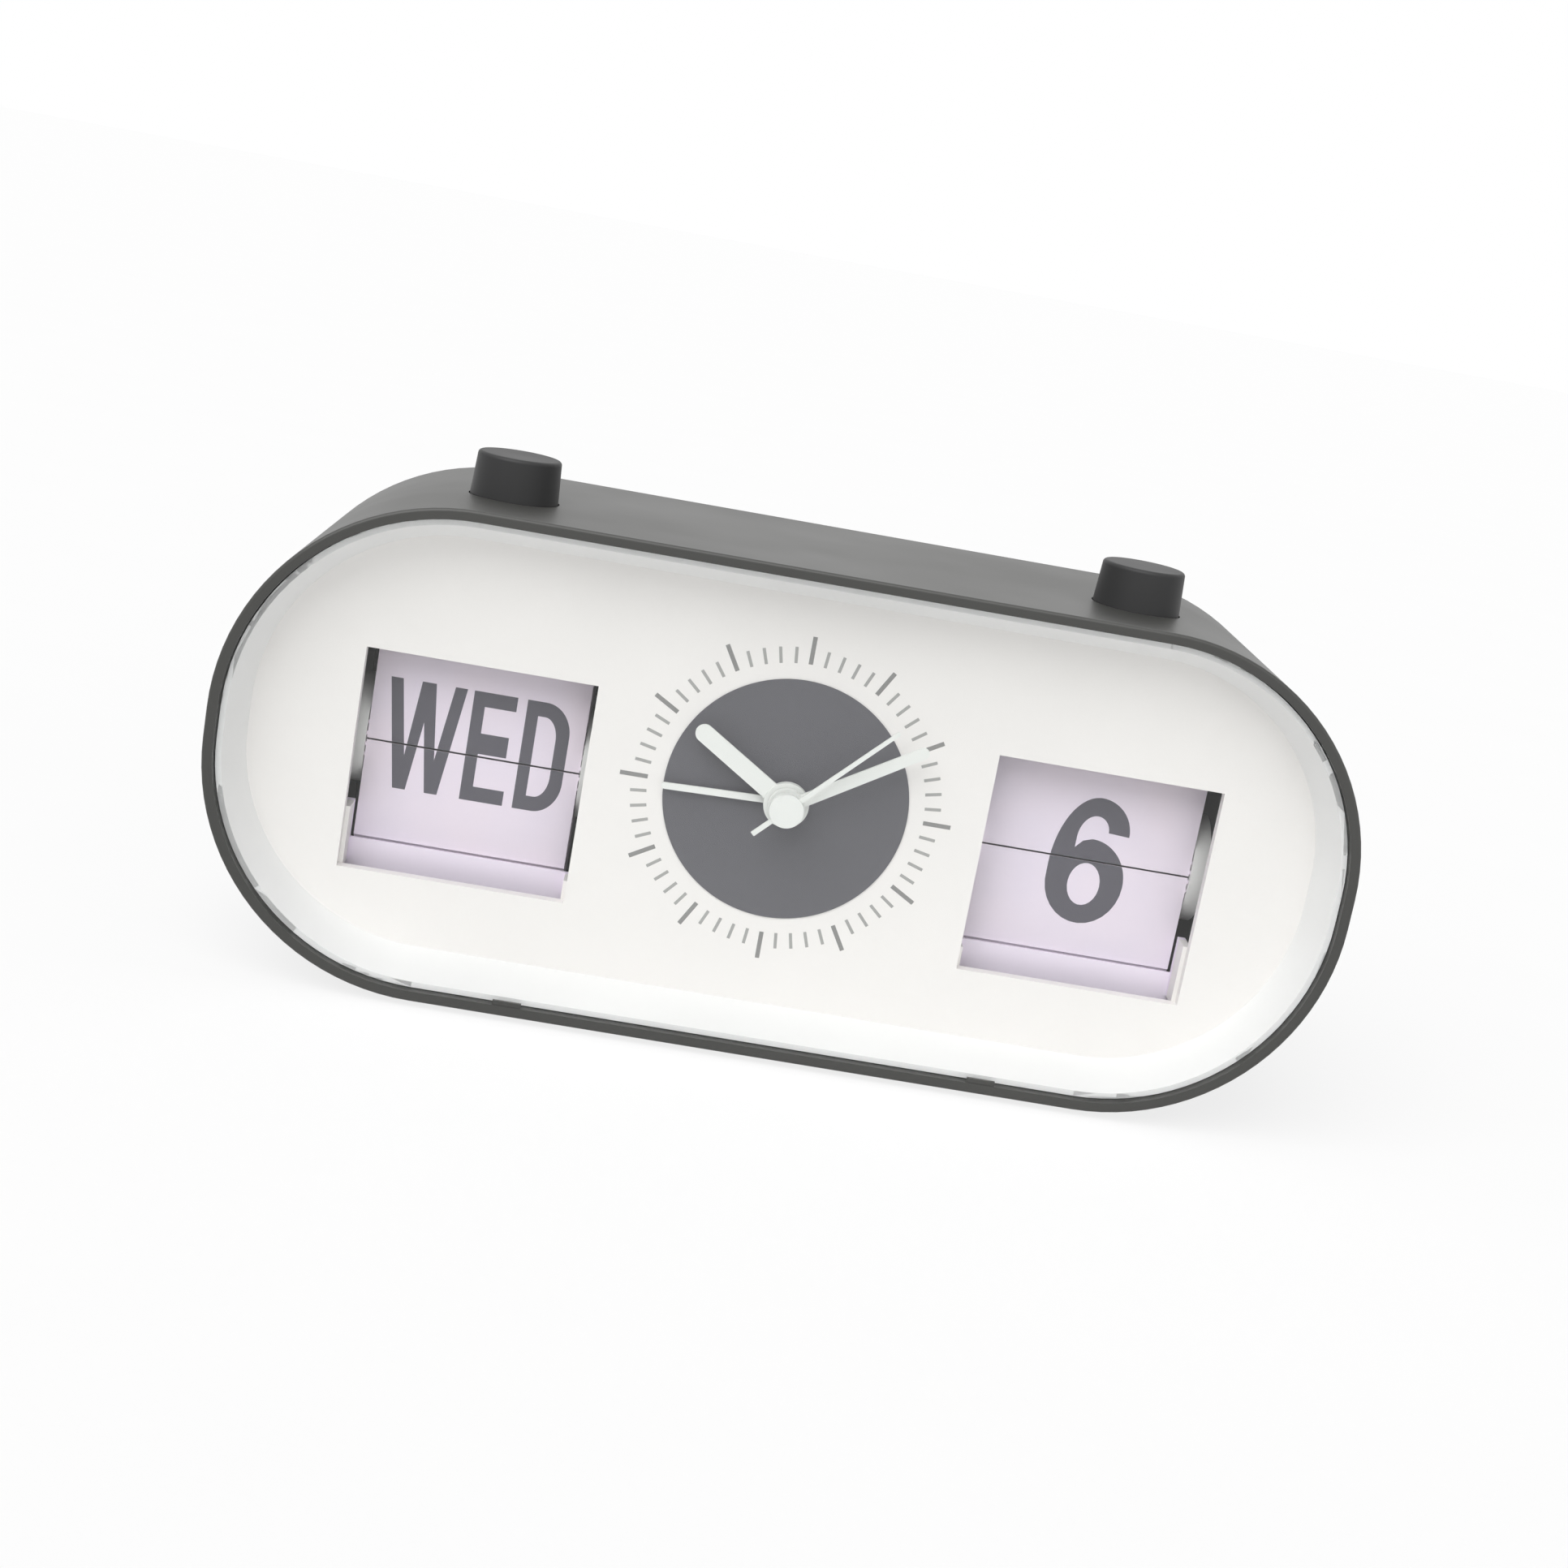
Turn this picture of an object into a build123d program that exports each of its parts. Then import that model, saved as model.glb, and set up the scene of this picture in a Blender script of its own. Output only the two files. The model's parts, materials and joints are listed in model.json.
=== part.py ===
from build123d import *
import os
from math import cos, radians, sin

# Day, date and alarm clock in a tube-shaped case, in millimetres.
# The front faces -Y, +X is to the right of a viewer in front of it and +Z is up.
# Everything is drawn with the rim's front plane at y = 0 and the case's mid-height
# at z = 0, so y is a depth behind the rim. The last step moves it all so that
# the origin is under the middle of the clock.

# Case tube
case_width = 180.0
case_height = 78.2
case_depth = 55.0
case_side_flat = 4.8
case_wall = 1.7
rim_rounding = 0.5
ledge_width = 1.5
ledge_thickness = 0.9
hook_span = 76.0
hook_width = 4.5
hook_reach = 0.8
hook_thickness = 0.45
hook_lens_gap = 0.05
seat_clearance = 0.15

# Lens, bezel and dial
lens_setback = 0.6
lens_thickness = 1.0
bezel_lip = 0.9
dial_depth = 10.3
bezel_side_width = 3.15
bezel_top_width = 4.0
dial_thickness = 2.0
dial_center_z = 0.7
center_disc_diameter = 39.1
center_disc_thickness = 0.2
window_width = 36.5
window_top = 13.7
window_bottom = -22.2
window_rib_length = 9.4
window_rib_overlap = 0.6
window_rib_flap_gap = 0.4
window_lip_thickness = 0.6
window_lip_drop = 1.6

# Rear cover and what it carries
cover_setback = 0.6
cover_thickness = 2.0
cover_boss_radius = 3.5
cover_boss_length = 16.0
cover_screw_diameter = 2.4
cover_screw_length = 9.0
cover_screw_head_diameter = 4.8
cover_screw_head_height = 1.5
cover_screw_end_gap = 1.0
cover_screw_slot_length = 3.0
cover_screw_slot_width = 0.7
cover_screw_slot_depth = 0.8
foot_diameter = 9.0
foot_height = 1.0
foot_end_inset = 11.3
foot_inset = 13.5
buzzer_diameter = 22.0
buzzer_height = 4.5
buzzer_nose_diameter = 11.0
buzzer_nose_height = 0.9
buzzer_top_gap = 5.4
sound_hole_diameter = 1.6
sound_hole_pitch = 3.4
switch_x = 34.0
switch_z = 14.0
switch_thumb_length = 5.0
switch_thumb_height = 2.8
switch_travel = 4.0
switch_reach = 1.2
switch_plate_length = 14.0
switch_plate_height = 6.0
switch_plate_thickness = 0.9

# Battery bay, for one AA cell lying along X
battery_diameter = 14.2
battery_length = 49.2
battery_nub_diameter = 5.2
battery_nub_length = 1.2
bay_bottom_gap = 2.7
bay_wall = 1.2
bay_end_room = 2.65
bay_side_room = 0.4
contact_thickness = 0.4
contact_size = 9.0
contact_gap = 0.1
contact_dimple_diameter = 3.4
contact_spring_base_radius = 3.75
contact_spring_tip_radius = 2.25
contact_spring_wire = 0.8
door_thickness = 1.6
door_gap = 0.25
door_pin_diameter = 1.0
door_pin_length = 0.8
door_grip_width = 12.0
door_grip_height = 3.2
door_grip_depth = 0.6

# Running fits
shaft_clearance = 0.05
press_clearance = 0.01
side_clearance = 0.3

# Flip units: the day on the left, the date on the right
unit_offset = 50.3
hinge_z = -2.7
card_depth = 18.0
pin_circle_radius = 8.0
day_flap_count = 28
date_flap_count = 31
flap_width = 34.4
flap_length = 15.2
hinge_line_gap = 0.3
flap_thickness = 0.16
flap_pin_diameter = 0.7
flap_pin_clearance = 0.1
flap_side_gap = 0.15
hang_lean = 5.0
drum_disc_radius = 9.0
drum_disc_thickness = 2.6
drum_core_radius = 4.0
axle_diameter = 3.0
frame_wall = 1.2
frame_gap = 0.4
frame_back_depth = 38.5
frame_seat_gap = 0.1
ratchet_thickness = 1.6
ratchet_tooth_depth = 1.2
ratchet_gap = 0.3
# Flat top of a ratchet tooth, as a share of the pitch
ratchet_land = 0.12
detent_thickness = 0.3
detent_gap = 0.15
detent_length = 22.0
detent_foot_length = 4.8
dial_screw_diameter = 1.8
dial_screw_head_diameter = 3.6
dial_screw_head_height = 1.1
dial_screw_bite = 1.5
dial_screw_slot_length = 2.2
dial_screw_slot_width = 0.5
frame_screw_offset = 14.0

# Day and date buttons and the plungers below them
button_depth = 21.3
button_base_radius = 7.0
button_top_radius = 6.6
button_height = 6.8
button_edge_rounding = 0.6
button_hole_clearance = 0.2
button_wall = 1.4
button_travel = 2.0
button_flange_radius = 7.7
button_flange_thickness = 1.2
button_flange_drop = 2.4
plunger_diameter = 5.0
plunger_boss_wall = 0.9
crossbar_thickness = 2.0
crossbar_width = 5.0
crossbar_clearance = 0.6
pawl_thickness = 0.6
pawl_gap = 0.1
pawl_arm_depth = 1.8
spring_wire = 0.9

# Quartz movement: plates
movement_half_width = 26.0
movement_below = 17.0
movement_above = 19.0
movement_plate = 1.0
movement_wall = 1.2
movement_screw_inset = 3.4
collar_wall = 0.75
gear_thickness = 0.8
gear_layer_gap = 0.4
arbor_diameter = 0.8
minute_arbor_diameter = 1.0
knob_shaft_diameter = 3.0
knob_pivot_diameter = 1.2
tube_wall = 0.5
rotor_diameter = 4.4
rotor_thickness = 2.0
rotor_gap = 0.4
stator_thickness = 1.0
stator_reach = 3.4
coil_radius = 2.4
coil_length = 9.4
coil_offset = 8.6
coil_flange_reach = 0.5
coil_flange_thickness = 0.6
core_width = 2.0
core_thickness = 0.9
board_left = -24.0
board_right = -9.0
board_bottom = -4.0
board_top = 17.0
board_thickness = 1.0
chip_radius = 2.5
chip_height = 0.7
crystal_diameter = 2.0
crystal_length = 6.0

# Gear train: teeth and modules. The two modules that share an axle distance
# with another pair are worked out from that distance.
cannon_teeth = 12
minute_wheel_teeth = 36
minute_pinion_teeth = 10
hour_wheel_teeth = 40
time_pinion_teeth = 12
setting_module = 0.4
alarm_wheel_teeth = 36
alarm_pinion_teeth = 24
second_pinion_teeth = 8
third_wheel_teeth = 60
third_pinion_teeth = 8
centre_wheel_teeth = 64
second_wheel_teeth = 60
intermediate_pinion_teeth = 10
intermediate_wheel_teeth = 50
rotor_pinion_teeth = 10
train_module = 0.25
# Tooth shape: heights in modules, half widths in quarters of the pitch
tooth_root_depth = 1.1
tooth_tip_height = 0.75
tooth_root_width = 1.1
tooth_pitch_width = 0.74
tooth_tip_width = 0.3
minute_axis_angle = 0.0
third_axis_angle = 130.0
intermediate_axis_angle = 60.0
rotor_axis_angle = 20.0
time_knob_angle = -60.0
alarm_knob_angle = 215.0

# Knobs at the back
knob_diameter = 11.0
knob_reach = 6.0
knob_cover_gap = 0.5
knob_flutes = 18
knob_flute_radius = 0.5

# Hands, with the time that the clock is stored at. The hour hand sits a little
# behind the minute hand's time, by an angle in degrees.
shown_minutes = 609.7
shown_seconds = 7.5
alarm_hour = 8.94
hour_hand_lag = 2.65
hand_thickness = 0.4
hand_step = 1.65
hand_boss_height = 1.2
hour_hand_length = 18.6
hour_hand_width = 3.0
hour_hand_tip_width = 2.9
hour_boss_diameter = 7.2
minute_hand_length = 24.0
minute_hand_width = 2.1
minute_hand_tip_width = 1.85
minute_boss_diameter = 5.9
second_hand_length = 21.5
second_hand_width = 0.8
second_hand_tip_width = 0.65
second_hand_tail = 6.5
second_boss_diameter = 5.4
alarm_hand_length = 19.8
alarm_hand_width = 1.15
alarm_hand_tip_width = 1.05
alarm_boss_diameter = 6.4

# Places that follow from the sizes above
front_y = -(case_depth + knob_reach) / 2
middle_z = foot_height + case_height / 2
case_corner_radius = (case_height - case_side_flat) / 2
inner_width = case_width - 2 * case_wall
inner_height = case_height - 2 * case_wall
inner_radius = case_corner_radius - case_wall
dial_opening_width = inner_width - 2 * bezel_side_width
dial_opening_height = inner_height - 2 * bezel_top_width
foot_x = case_width / 2 - case_corner_radius - foot_end_inset
buzzer_z = inner_height / 2 - buzzer_top_gap - buzzer_diameter / 2
lens_back = lens_setback + lens_thickness
dial_back = dial_depth + dial_thickness
ledge_back = dial_back + ledge_thickness
cover_back = case_depth - cover_setback
cover_front = cover_back - cover_thickness
window_height = window_top - window_bottom
window_mid_z = (window_top + window_bottom) / 2
drum_y = card_depth + pin_circle_radius
disc_inner = flap_width / 2 + flap_side_gap
disc_outer = disc_inner + drum_disc_thickness
cheek_inner = disc_outer + frame_gap
cheek_outer = cheek_inner + frame_wall
ratchet_inner = cheek_outer + ratchet_gap * 2
ratchet_outer = ratchet_inner + ratchet_thickness
largest_lean = 180 / min(day_flap_count, date_flap_count)
lean_reach = 2 * pin_circle_radius * flap_length * sin(radians(largest_lean))
fan_radius = (pin_circle_radius**2 + flap_length**2 + lean_reach) ** 0.5
crossbar_bottom = hinge_z + fan_radius + button_travel + crossbar_clearance
crossbar_top = crossbar_bottom + crossbar_thickness
top_plate_bottom = crossbar_top + frame_wall
frame_top = top_plate_bottom + frame_wall
bottom_plate_top = hinge_z - pin_circle_radius - flap_length - frame_wall
frame_bottom = bottom_plate_top - frame_wall
frame_front = dial_back + frame_seat_gap
lower_bar_top = window_bottom - frame_wall
spring_inner_radius = plunger_diameter / 2 + plunger_boss_wall + side_clearance
spring_outer_radius = spring_inner_radius + spring_wire
button_top = case_height / 2 + button_height
button_ceiling = button_top - button_wall
flange_top = case_height / 2 - button_flange_drop
plate_front = dial_back + frame_seat_gap
plate_back = plate_front + movement_plate
bay_half_length = battery_length / 2 + bay_end_room
bay_half_height = battery_diameter / 2 + bay_side_room
bay_z = bay_bottom_gap + bay_wall + bay_half_height - inner_height / 2
battery_y = cover_back - door_thickness - side_clearance - battery_diameter / 2
bay_floor = battery_y - battery_diameter / 2 - side_clearance
door_axis_y = cover_back - door_thickness / 2
door_axis_z = bay_z - bay_half_height + door_gap + door_thickness / 2

FLAP_COUNTS = {"day": day_flap_count, "date": date_flap_count}
SIDES = {"day": -1, "date": 1}


def layer(number):
    """Front depth of a layer of gears, counted from the movement's front plate."""
    return plate_back + gear_layer_gap + (number - 1) * (gear_thickness + gear_layer_gap)


train_back = layer(8) + rotor_thickness + 2 * rotor_gap
housing_inner = train_back + rotor_gap
housing_back = housing_inner + movement_wall
arbor_front = plate_front + movement_plate / 2
arbor_back = housing_inner + movement_wall / 2


def axle_distance(teeth_a, teeth_b, module):
    """Distance between the axles of two gears in mesh."""
    return (teeth_a + teeth_b) * module / 2


def step_from(point, distance, angle):
    """Point at a distance and an angle in degrees from another, in X and Z."""
    return (point[0] + distance * cos(radians(angle)), point[1] + distance * sin(radians(angle)))


center_axis = (0.0, dial_center_z)
minute_distance = axle_distance(cannon_teeth, minute_wheel_teeth, setting_module)
hour_module = 2 * minute_distance / (minute_pinion_teeth + hour_wheel_teeth)
third_distance = axle_distance(second_pinion_teeth, third_wheel_teeth, train_module)
centre_module = 2 * third_distance / (third_pinion_teeth + centre_wheel_teeth)
intermediate_distance = axle_distance(second_wheel_teeth, intermediate_pinion_teeth, train_module)
rotor_distance = axle_distance(intermediate_wheel_teeth, rotor_pinion_teeth, train_module)
time_distance = axle_distance(minute_wheel_teeth, time_pinion_teeth, setting_module)
alarm_distance = axle_distance(alarm_wheel_teeth, alarm_pinion_teeth, setting_module)
minute_axis = step_from(center_axis, minute_distance, minute_axis_angle)
third_axis = step_from(center_axis, third_distance, third_axis_angle)
intermediate_axis = step_from(center_axis, intermediate_distance, intermediate_axis_angle)
rotor_axis = step_from(intermediate_axis, rotor_distance, rotor_axis_angle)
time_axis = step_from(minute_axis, time_distance, time_knob_angle)
alarm_axis = step_from(center_axis, alarm_distance, alarm_knob_angle)
ARBOR_AXES = [minute_axis, third_axis, intermediate_axis, rotor_axis]
ARBOR_DIAMETERS = [minute_arbor_diameter, arbor_diameter, arbor_diameter, arbor_diameter]
KNOB_AXES = [time_axis, alarm_axis]

# The four tubes in one another at the dial's centre, by outer radius
second_arbor_radius = arbor_diameter / 2
minute_tube_radius = second_arbor_radius + shaft_clearance + tube_wall
hour_tube_radius = minute_tube_radius + shaft_clearance + tube_wall
alarm_tube_radius = hour_tube_radius + shaft_clearance + tube_wall
collar_bore_radius = alarm_tube_radius + shaft_clearance
collar_radius = collar_bore_radius + collar_wall


def slab(face, front, back):
    """Extrude a face, drawn in X and Z, between two depths."""
    return Plane.XZ.offset(-back).location * extrude(face, amount=back - front)


def disc(point, radius, front, back):
    """Round plate or shaft along Y at a point in X and Z."""
    return slab(Pos(*point) * Circle(radius), front, back)


def block(x_range, y_range, z_range):
    """Box between two values on each axis."""
    size = [high - low for low, high in (x_range, y_range, z_range)]
    middle = [(high + low) / 2 for low, high in (x_range, y_range, z_range)]
    return Pos(*middle) * Box(*size)


def outward(side, near, far):
    """X range between two offsets outward from the middle of a flip unit."""
    return tuple(sorted((side * (unit_offset + near), side * (unit_offset + far))))


def across(face, side, near, far):
    """Extrude a face, drawn in Y and Z, between two offsets outward from a flip unit's middle."""
    low, high = outward(side, near, far)
    return Plane.YZ.offset(low).location * extrude(face, amount=high - low)


def outline(width, height, radius):
    """Tube outline: a rectangle with large round corners."""
    return RectangleRounded(width, height, radius)


def inner_outline(inset):
    """Outline inside the case wall, drawn in by an inset."""
    return outline(inner_width - 2 * inset, inner_height - 2 * inset, inner_radius - inset)


# Case body

def cover_boss_points():
    """Places of the four screw bosses in the corners of the tube."""
    reach = (inner_radius - cover_boss_radius + rim_rounding) * sin(radians(45))
    x = case_width / 2 - case_corner_radius + reach
    z = case_height / 2 - case_corner_radius + reach
    return [(sx * x, sz * z) for sx in (-1, 1) for sz in (-1, 1)]


def case_shell():
    """Tube with a ledge behind the dial, lens hooks, screw bosses and button holes."""
    body = slab(outline(case_width, case_height, case_corner_radius), 0, case_depth)
    rims = body.edges().group_by(Axis.Y)
    body = fillet(rims[0] + rims[-1], rim_rounding)
    body -= slab(inner_outline(0), 0, case_depth)
    body += slab(inner_outline(0) - inner_outline(ledge_width), dial_back, ledge_back)
    for point in cover_boss_points():
        boss = disc(point, cover_boss_radius, cover_front - cover_boss_length, cover_front)
        body += boss & slab(inner_outline(-case_wall / 2), 0, case_depth)
    for point in cover_boss_points():
        hole_radius = cover_screw_diameter / 2 + press_clearance
        body -= disc(point, hole_radius, cover_front - cover_screw_length, cover_front)
    hook_back = lens_setback - hook_lens_gap
    for x in (-hook_span / 2, hook_span / 2):
        bottom = -inner_height / 2
        body += block(
            (x - hook_width / 2, x + hook_width / 2),
            (hook_back - hook_thickness, hook_back),
            (bottom - case_wall / 2, bottom + hook_reach),
        )
    hole_radius = button_base_radius + button_hole_clearance
    for side in SIDES.values():
        hole = Cylinder(hole_radius, 4 * case_wall)
        body -= Pos(side * unit_offset, button_depth, case_height / 2) * hole
    return body


def front_lens():
    """Flat clear window in the rim, in front of the bezel."""
    return slab(inner_outline(seat_clearance), lens_setback, lens_back)


def front_bezel():
    """White dish wall that narrows from the rim to the dial."""
    body = slab(inner_outline(seat_clearance), lens_back, dial_depth)
    mouth = Plane.XZ.offset(-lens_back) * inner_outline(seat_clearance + bezel_lip)
    dial_radius = inner_radius - bezel_top_width
    throat = Plane.XZ.offset(-dial_depth) * outline(dial_opening_width, dial_opening_height, dial_radius)
    return body - loft([mouth, throat])


def dial_screw_points():
    """Places of the screws that hold both flip frames and the movement to the dial."""
    points = list(movement_screw_points())
    for name, side in SIDES.items():
        points += frame_screw_points(name, side)
    return points


def window_lip(name):
    """Lip below the hanging flap, closing the foot of a window, between two ribs on the dial's back."""
    side = SIDES[name]
    pin_y, pin_z = pin_point(-pitch(name) / 2)
    lip_back = pin_y - flap_thickness / 2 - side_clearance
    lip_top = pin_z - flap_length - side_clearance
    rib_near = flap_width / 2 + window_rib_flap_gap
    rib_far = window_width / 2 + window_rib_overlap
    rib_bottom = window_bottom - window_rib_overlap
    lip = block(
        outward(side, -rib_far, rib_far),
        (lip_back - window_lip_thickness, lip_back),
        (window_bottom - window_lip_drop, lip_top),
    )
    lip += block(outward(side, -rib_far, -rib_near), (dial_back, lip_back), (rib_bottom, lip_top))
    rib_top = window_bottom + window_rib_length
    return lip + block(outward(side, rib_near, rib_far), (dial_back, lip_back), (rib_bottom, rib_top))


def dial_plate():
    """White plate with the two windows, the centre hole and blind screw holes."""
    body = slab(inner_outline(seat_clearance), dial_depth, dial_back)
    for name, side in SIDES.items():
        opening = Pos(side * unit_offset, window_mid_z) * Rectangle(window_width, window_height)
        body -= slab(opening, dial_depth, dial_back)
        body += window_lip(name)
    body -= disc(center_axis, collar_radius + seat_clearance, dial_depth, dial_back)
    for point in dial_screw_points():
        body -= disc(point, dial_screw_diameter / 2 + press_clearance, dial_back - dial_screw_bite, dial_back)
    return body


def dial_center_disc():
    """Thin dark disc under the hands."""
    ring = Circle(center_disc_diameter / 2) - Circle(collar_radius + seat_clearance)
    return slab(Pos(*center_axis) * ring, dial_depth - center_disc_thickness, dial_depth)


def cover_screws():
    """Four pan-head screws through the rear cover."""
    screws = []
    for point in cover_boss_points():
        head = disc(point, cover_screw_head_diameter / 2, cover_back - cover_screw_head_height, cover_back)
        shank_end = cover_front - cover_screw_length + cover_screw_end_gap
        shank = disc(point, cover_screw_diameter / 2, shank_end, cover_back - cover_screw_head_height)
        slot = Rectangle(cover_screw_slot_length, cover_screw_slot_width)
        cross = Pos(*point) * (slot + Rot(0, 0, 90) * slot)
        screws.append(head + shank - slab(cross, cover_back - cover_screw_slot_depth, cover_back))
    return screws


def sound_hole_points():
    """Rings of small holes in front of the buzzer, one hole in the middle."""
    points = [(0.0, buzzer_z)]
    for ring in (1, 2):
        for index in range(6 * ring):
            points.append(step_from((0.0, buzzer_z), ring * sound_hole_pitch, index * 60 / ring))
    return points


def rear_cover():
    """Back plate with the battery bay, sound holes, switch slot and shaft holes."""
    body = slab(inner_outline(seat_clearance), cover_front, cover_back)
    outer_x = bay_half_length + bay_wall
    outer_z = bay_half_height + bay_wall
    body += block((-outer_x, outer_x), (bay_floor - bay_wall, cover_front), (bay_z - outer_z, bay_z + outer_z))
    body -= block(
        (-bay_half_length, bay_half_length),
        (bay_floor, cover_back),
        (bay_z - bay_half_height, bay_z + bay_half_height),
    )
    pin_hole = Plane.YZ * Cylinder(door_pin_diameter / 2 + shaft_clearance, 2 * (bay_half_length + door_pin_length))
    body -= Pos(0, door_axis_y, door_axis_z) * pin_hole
    for point in cover_boss_points():
        body -= disc(point, cover_screw_diameter / 2 + seat_clearance, cover_front, cover_back)
        sink = disc(point, cover_screw_head_diameter / 2 + seat_clearance,
                    cover_back - cover_screw_head_height, cover_back)
        body -= sink
    for point in sound_hole_points():
        body -= disc(point, sound_hole_diameter / 2, cover_front, cover_back)
    for point in KNOB_AXES:
        body -= disc(point, knob_shaft_diameter / 2 + shaft_clearance, cover_front, cover_back)
    slot_length = switch_thumb_length + switch_travel + 2 * side_clearance
    slot = Pos(switch_x, switch_z) * Rectangle(slot_length, switch_thumb_height + 2 * side_clearance)
    return body - slab(slot, cover_front, cover_back)


def battery_door():
    """Snap-in lid of the battery bay, with pins at its lower edge and a grip notch."""
    half_x = bay_half_length - door_gap
    top = bay_z + bay_half_height - door_gap
    front = cover_back - door_thickness
    body = block((-half_x, half_x), (front, cover_back), (door_axis_z, top))
    barrel = Plane.YZ * Cylinder(door_thickness / 2, 2 * half_x)
    body += Pos(0, door_axis_y, door_axis_z) * barrel
    pin = Plane.YZ * Cylinder(door_pin_diameter / 2, 2 * (bay_half_length + door_pin_length - side_clearance))
    body += Pos(0, door_axis_y, door_axis_z) * pin
    grip_top = top - door_thickness
    return body - block(
        (-door_grip_width / 2, door_grip_width / 2),
        (cover_back - door_grip_depth, cover_back),
        (grip_top - door_grip_height, grip_top),
    )


def battery():
    """AA cell with its nub to the right."""
    cell = Plane.YZ * Cylinder(battery_diameter / 2, battery_length)
    nub_x = (battery_length + battery_nub_length) / 2
    nub = Pos(nub_x, 0, 0) * (Plane.YZ * Cylinder(battery_nub_diameter / 2, battery_nub_length))
    return Pos(0, battery_y, bay_z) * (cell + nub)


def battery_contacts():
    """Plate with a dimple for the nub, and a plate with a tapered spring for the flat end."""
    half = contact_size / 2
    y_range = (battery_y - half, battery_y + half)
    z_range = (bay_z - half, bay_z + half)
    plate_face = bay_half_length - contact_thickness
    positive = block((plate_face, bay_half_length), y_range, z_range)
    dimple_length = plate_face - battery_length / 2 - battery_nub_length - contact_gap
    dimple = Plane.YZ * Cylinder(contact_dimple_diameter / 2, dimple_length)
    positive += Pos(plate_face - dimple_length / 2, battery_y, bay_z) * dimple
    negative = block((-bay_half_length, -plate_face), y_range, z_range)
    spring_length = plate_face - battery_length / 2 - contact_gap
    base_bore = contact_spring_base_radius - contact_spring_wire
    tip_bore = contact_spring_tip_radius - contact_spring_wire
    spring = Cone(contact_spring_base_radius, contact_spring_tip_radius, spring_length)
    spring -= Cone(base_bore, tip_bore, spring_length)
    spring_x = -plate_face + spring_length / 2
    negative += Pos(spring_x, battery_y, bay_z) * (Plane.YZ * spring)
    return [positive, negative]


def buzzer():
    """Round sounder against the cover, with a raised middle."""
    front = cover_front - buzzer_height
    body = disc((0, buzzer_z), buzzer_diameter / 2, front, cover_front)
    return body + disc((0, buzzer_z), buzzer_nose_diameter / 2, front - buzzer_nose_height, front)


def rubber_feet():
    """Four round pads under the flat bottom."""
    feet = []
    for x in (-foot_x, foot_x):
        for y in (foot_inset, case_depth - foot_inset):
            pad = Cylinder(foot_diameter / 2, foot_height)
            feet.append(Pos(x, y, -(case_height + foot_height) / 2) * pad)
    return feet


def alarm_switch_slider():
    """Alarm switch: a thumb piece in the cover's slot, and a plate behind the slot."""
    x = switch_x - switch_travel / 2
    plate_back_y = cover_front - seat_clearance
    thumb = slab(
        Pos(x, switch_z) * Rectangle(switch_thumb_length, switch_thumb_height),
        plate_back_y,
        cover_back + switch_reach,
    )
    plate = slab(
        Pos(x, switch_z) * Rectangle(switch_plate_length, switch_plate_height),
        plate_back_y - switch_plate_thickness,
        plate_back_y,
    )
    return thumb + plate


# Flip units

def pitch(name):
    """Angle between neighbouring flaps of a drum, in degrees."""
    return 360 / FLAP_COUNTS[name]


def pin_point(angle):
    """Y and Z of a flap's pin, its angle counted upward from the drum's front."""
    y = drum_y - pin_circle_radius * cos(radians(angle))
    z = hinge_z + pin_circle_radius * sin(radians(angle))
    return y, z


def flap(name, pin_angle, lean):
    """Flap on its pins, leaning backward from upright by an angle in degrees."""
    pin_spacing = 2 * pin_circle_radius * sin(radians(pitch(name) / 2))
    tail = (pin_spacing - hinge_line_gap) / 2
    card = block(
        (-flap_width / 2, flap_width / 2),
        (-flap_thickness / 2, flap_thickness / 2),
        (-tail, flap_length),
    )
    pin_length = flap_side_gap + drum_disc_thickness - flap_pin_clearance
    pin = Plane.YZ * Cylinder(flap_pin_diameter / 2, pin_length)
    for end in (-1, 1):
        card += Pos(end * (flap_width + pin_length) / 2, 0, 0) * pin
    y, z = pin_point(pin_angle)
    return Pos(SIDES[name] * unit_offset, y, z) * (Rot(-lean, 0, 0) * card)


def falling_flap(name):
    """Flap that shows the upper half of the card and falls forward at the next press."""
    return flap(name, pitch(name) / 2, 0)


def lower_flap(name):
    """Flap that hangs in front and shows the lower half of the card."""
    return flap(name, -pitch(name) / 2, 180)


def flap_stack(name):
    """All other flaps: a fan over the top and the back, and the ones that hang below.

    Each flap of the fan leans outward by half a pitch, as the upright one in front does.
    """
    step = pitch(name)
    hang_start = 180 - hang_lean
    flaps = []
    for number in range(2, FLAP_COUNTS[name]):
        angle = (number - 0.5) * step
        lean = min(angle - step / 2, hang_start + hang_lean * (angle - 180) / 180)
        flaps.append(flap(name, angle, lean))
    return flaps


def flip_drum(name):
    """Spool with a ring of pin holes in each end disc."""
    side = SIDES[name]
    step = pitch(name)
    plate = Pos(drum_y, hinge_z) * Circle(drum_disc_radius)
    hole = Circle(flap_pin_diameter / 2 + flap_pin_clearance)
    for number in range(FLAP_COUNTS[name]):
        plate -= Pos(*pin_point((number + 0.5) * step)) * hole
    core = Pos(drum_y, hinge_z) * Circle(drum_core_radius)
    body = across(core, side, -disc_outer, disc_outer)
    body += across(plate, side, -disc_outer, -disc_inner)
    body += across(plate, side, disc_inner, disc_outer)
    bore = Pos(drum_y, hinge_z) * Circle(axle_diameter / 2 + press_clearance)
    return body - across(bore, side, -disc_outer, disc_outer)


def ratchet_pitch_radius(name):
    """Radius at which one tooth is as long as the button's travel."""
    return button_travel / radians(pitch(name))


def ratchet_tip_radius(name):
    """Outer radius of the ratchet wheel."""
    return ratchet_pitch_radius(name) + ratchet_tooth_depth / 2


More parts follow.
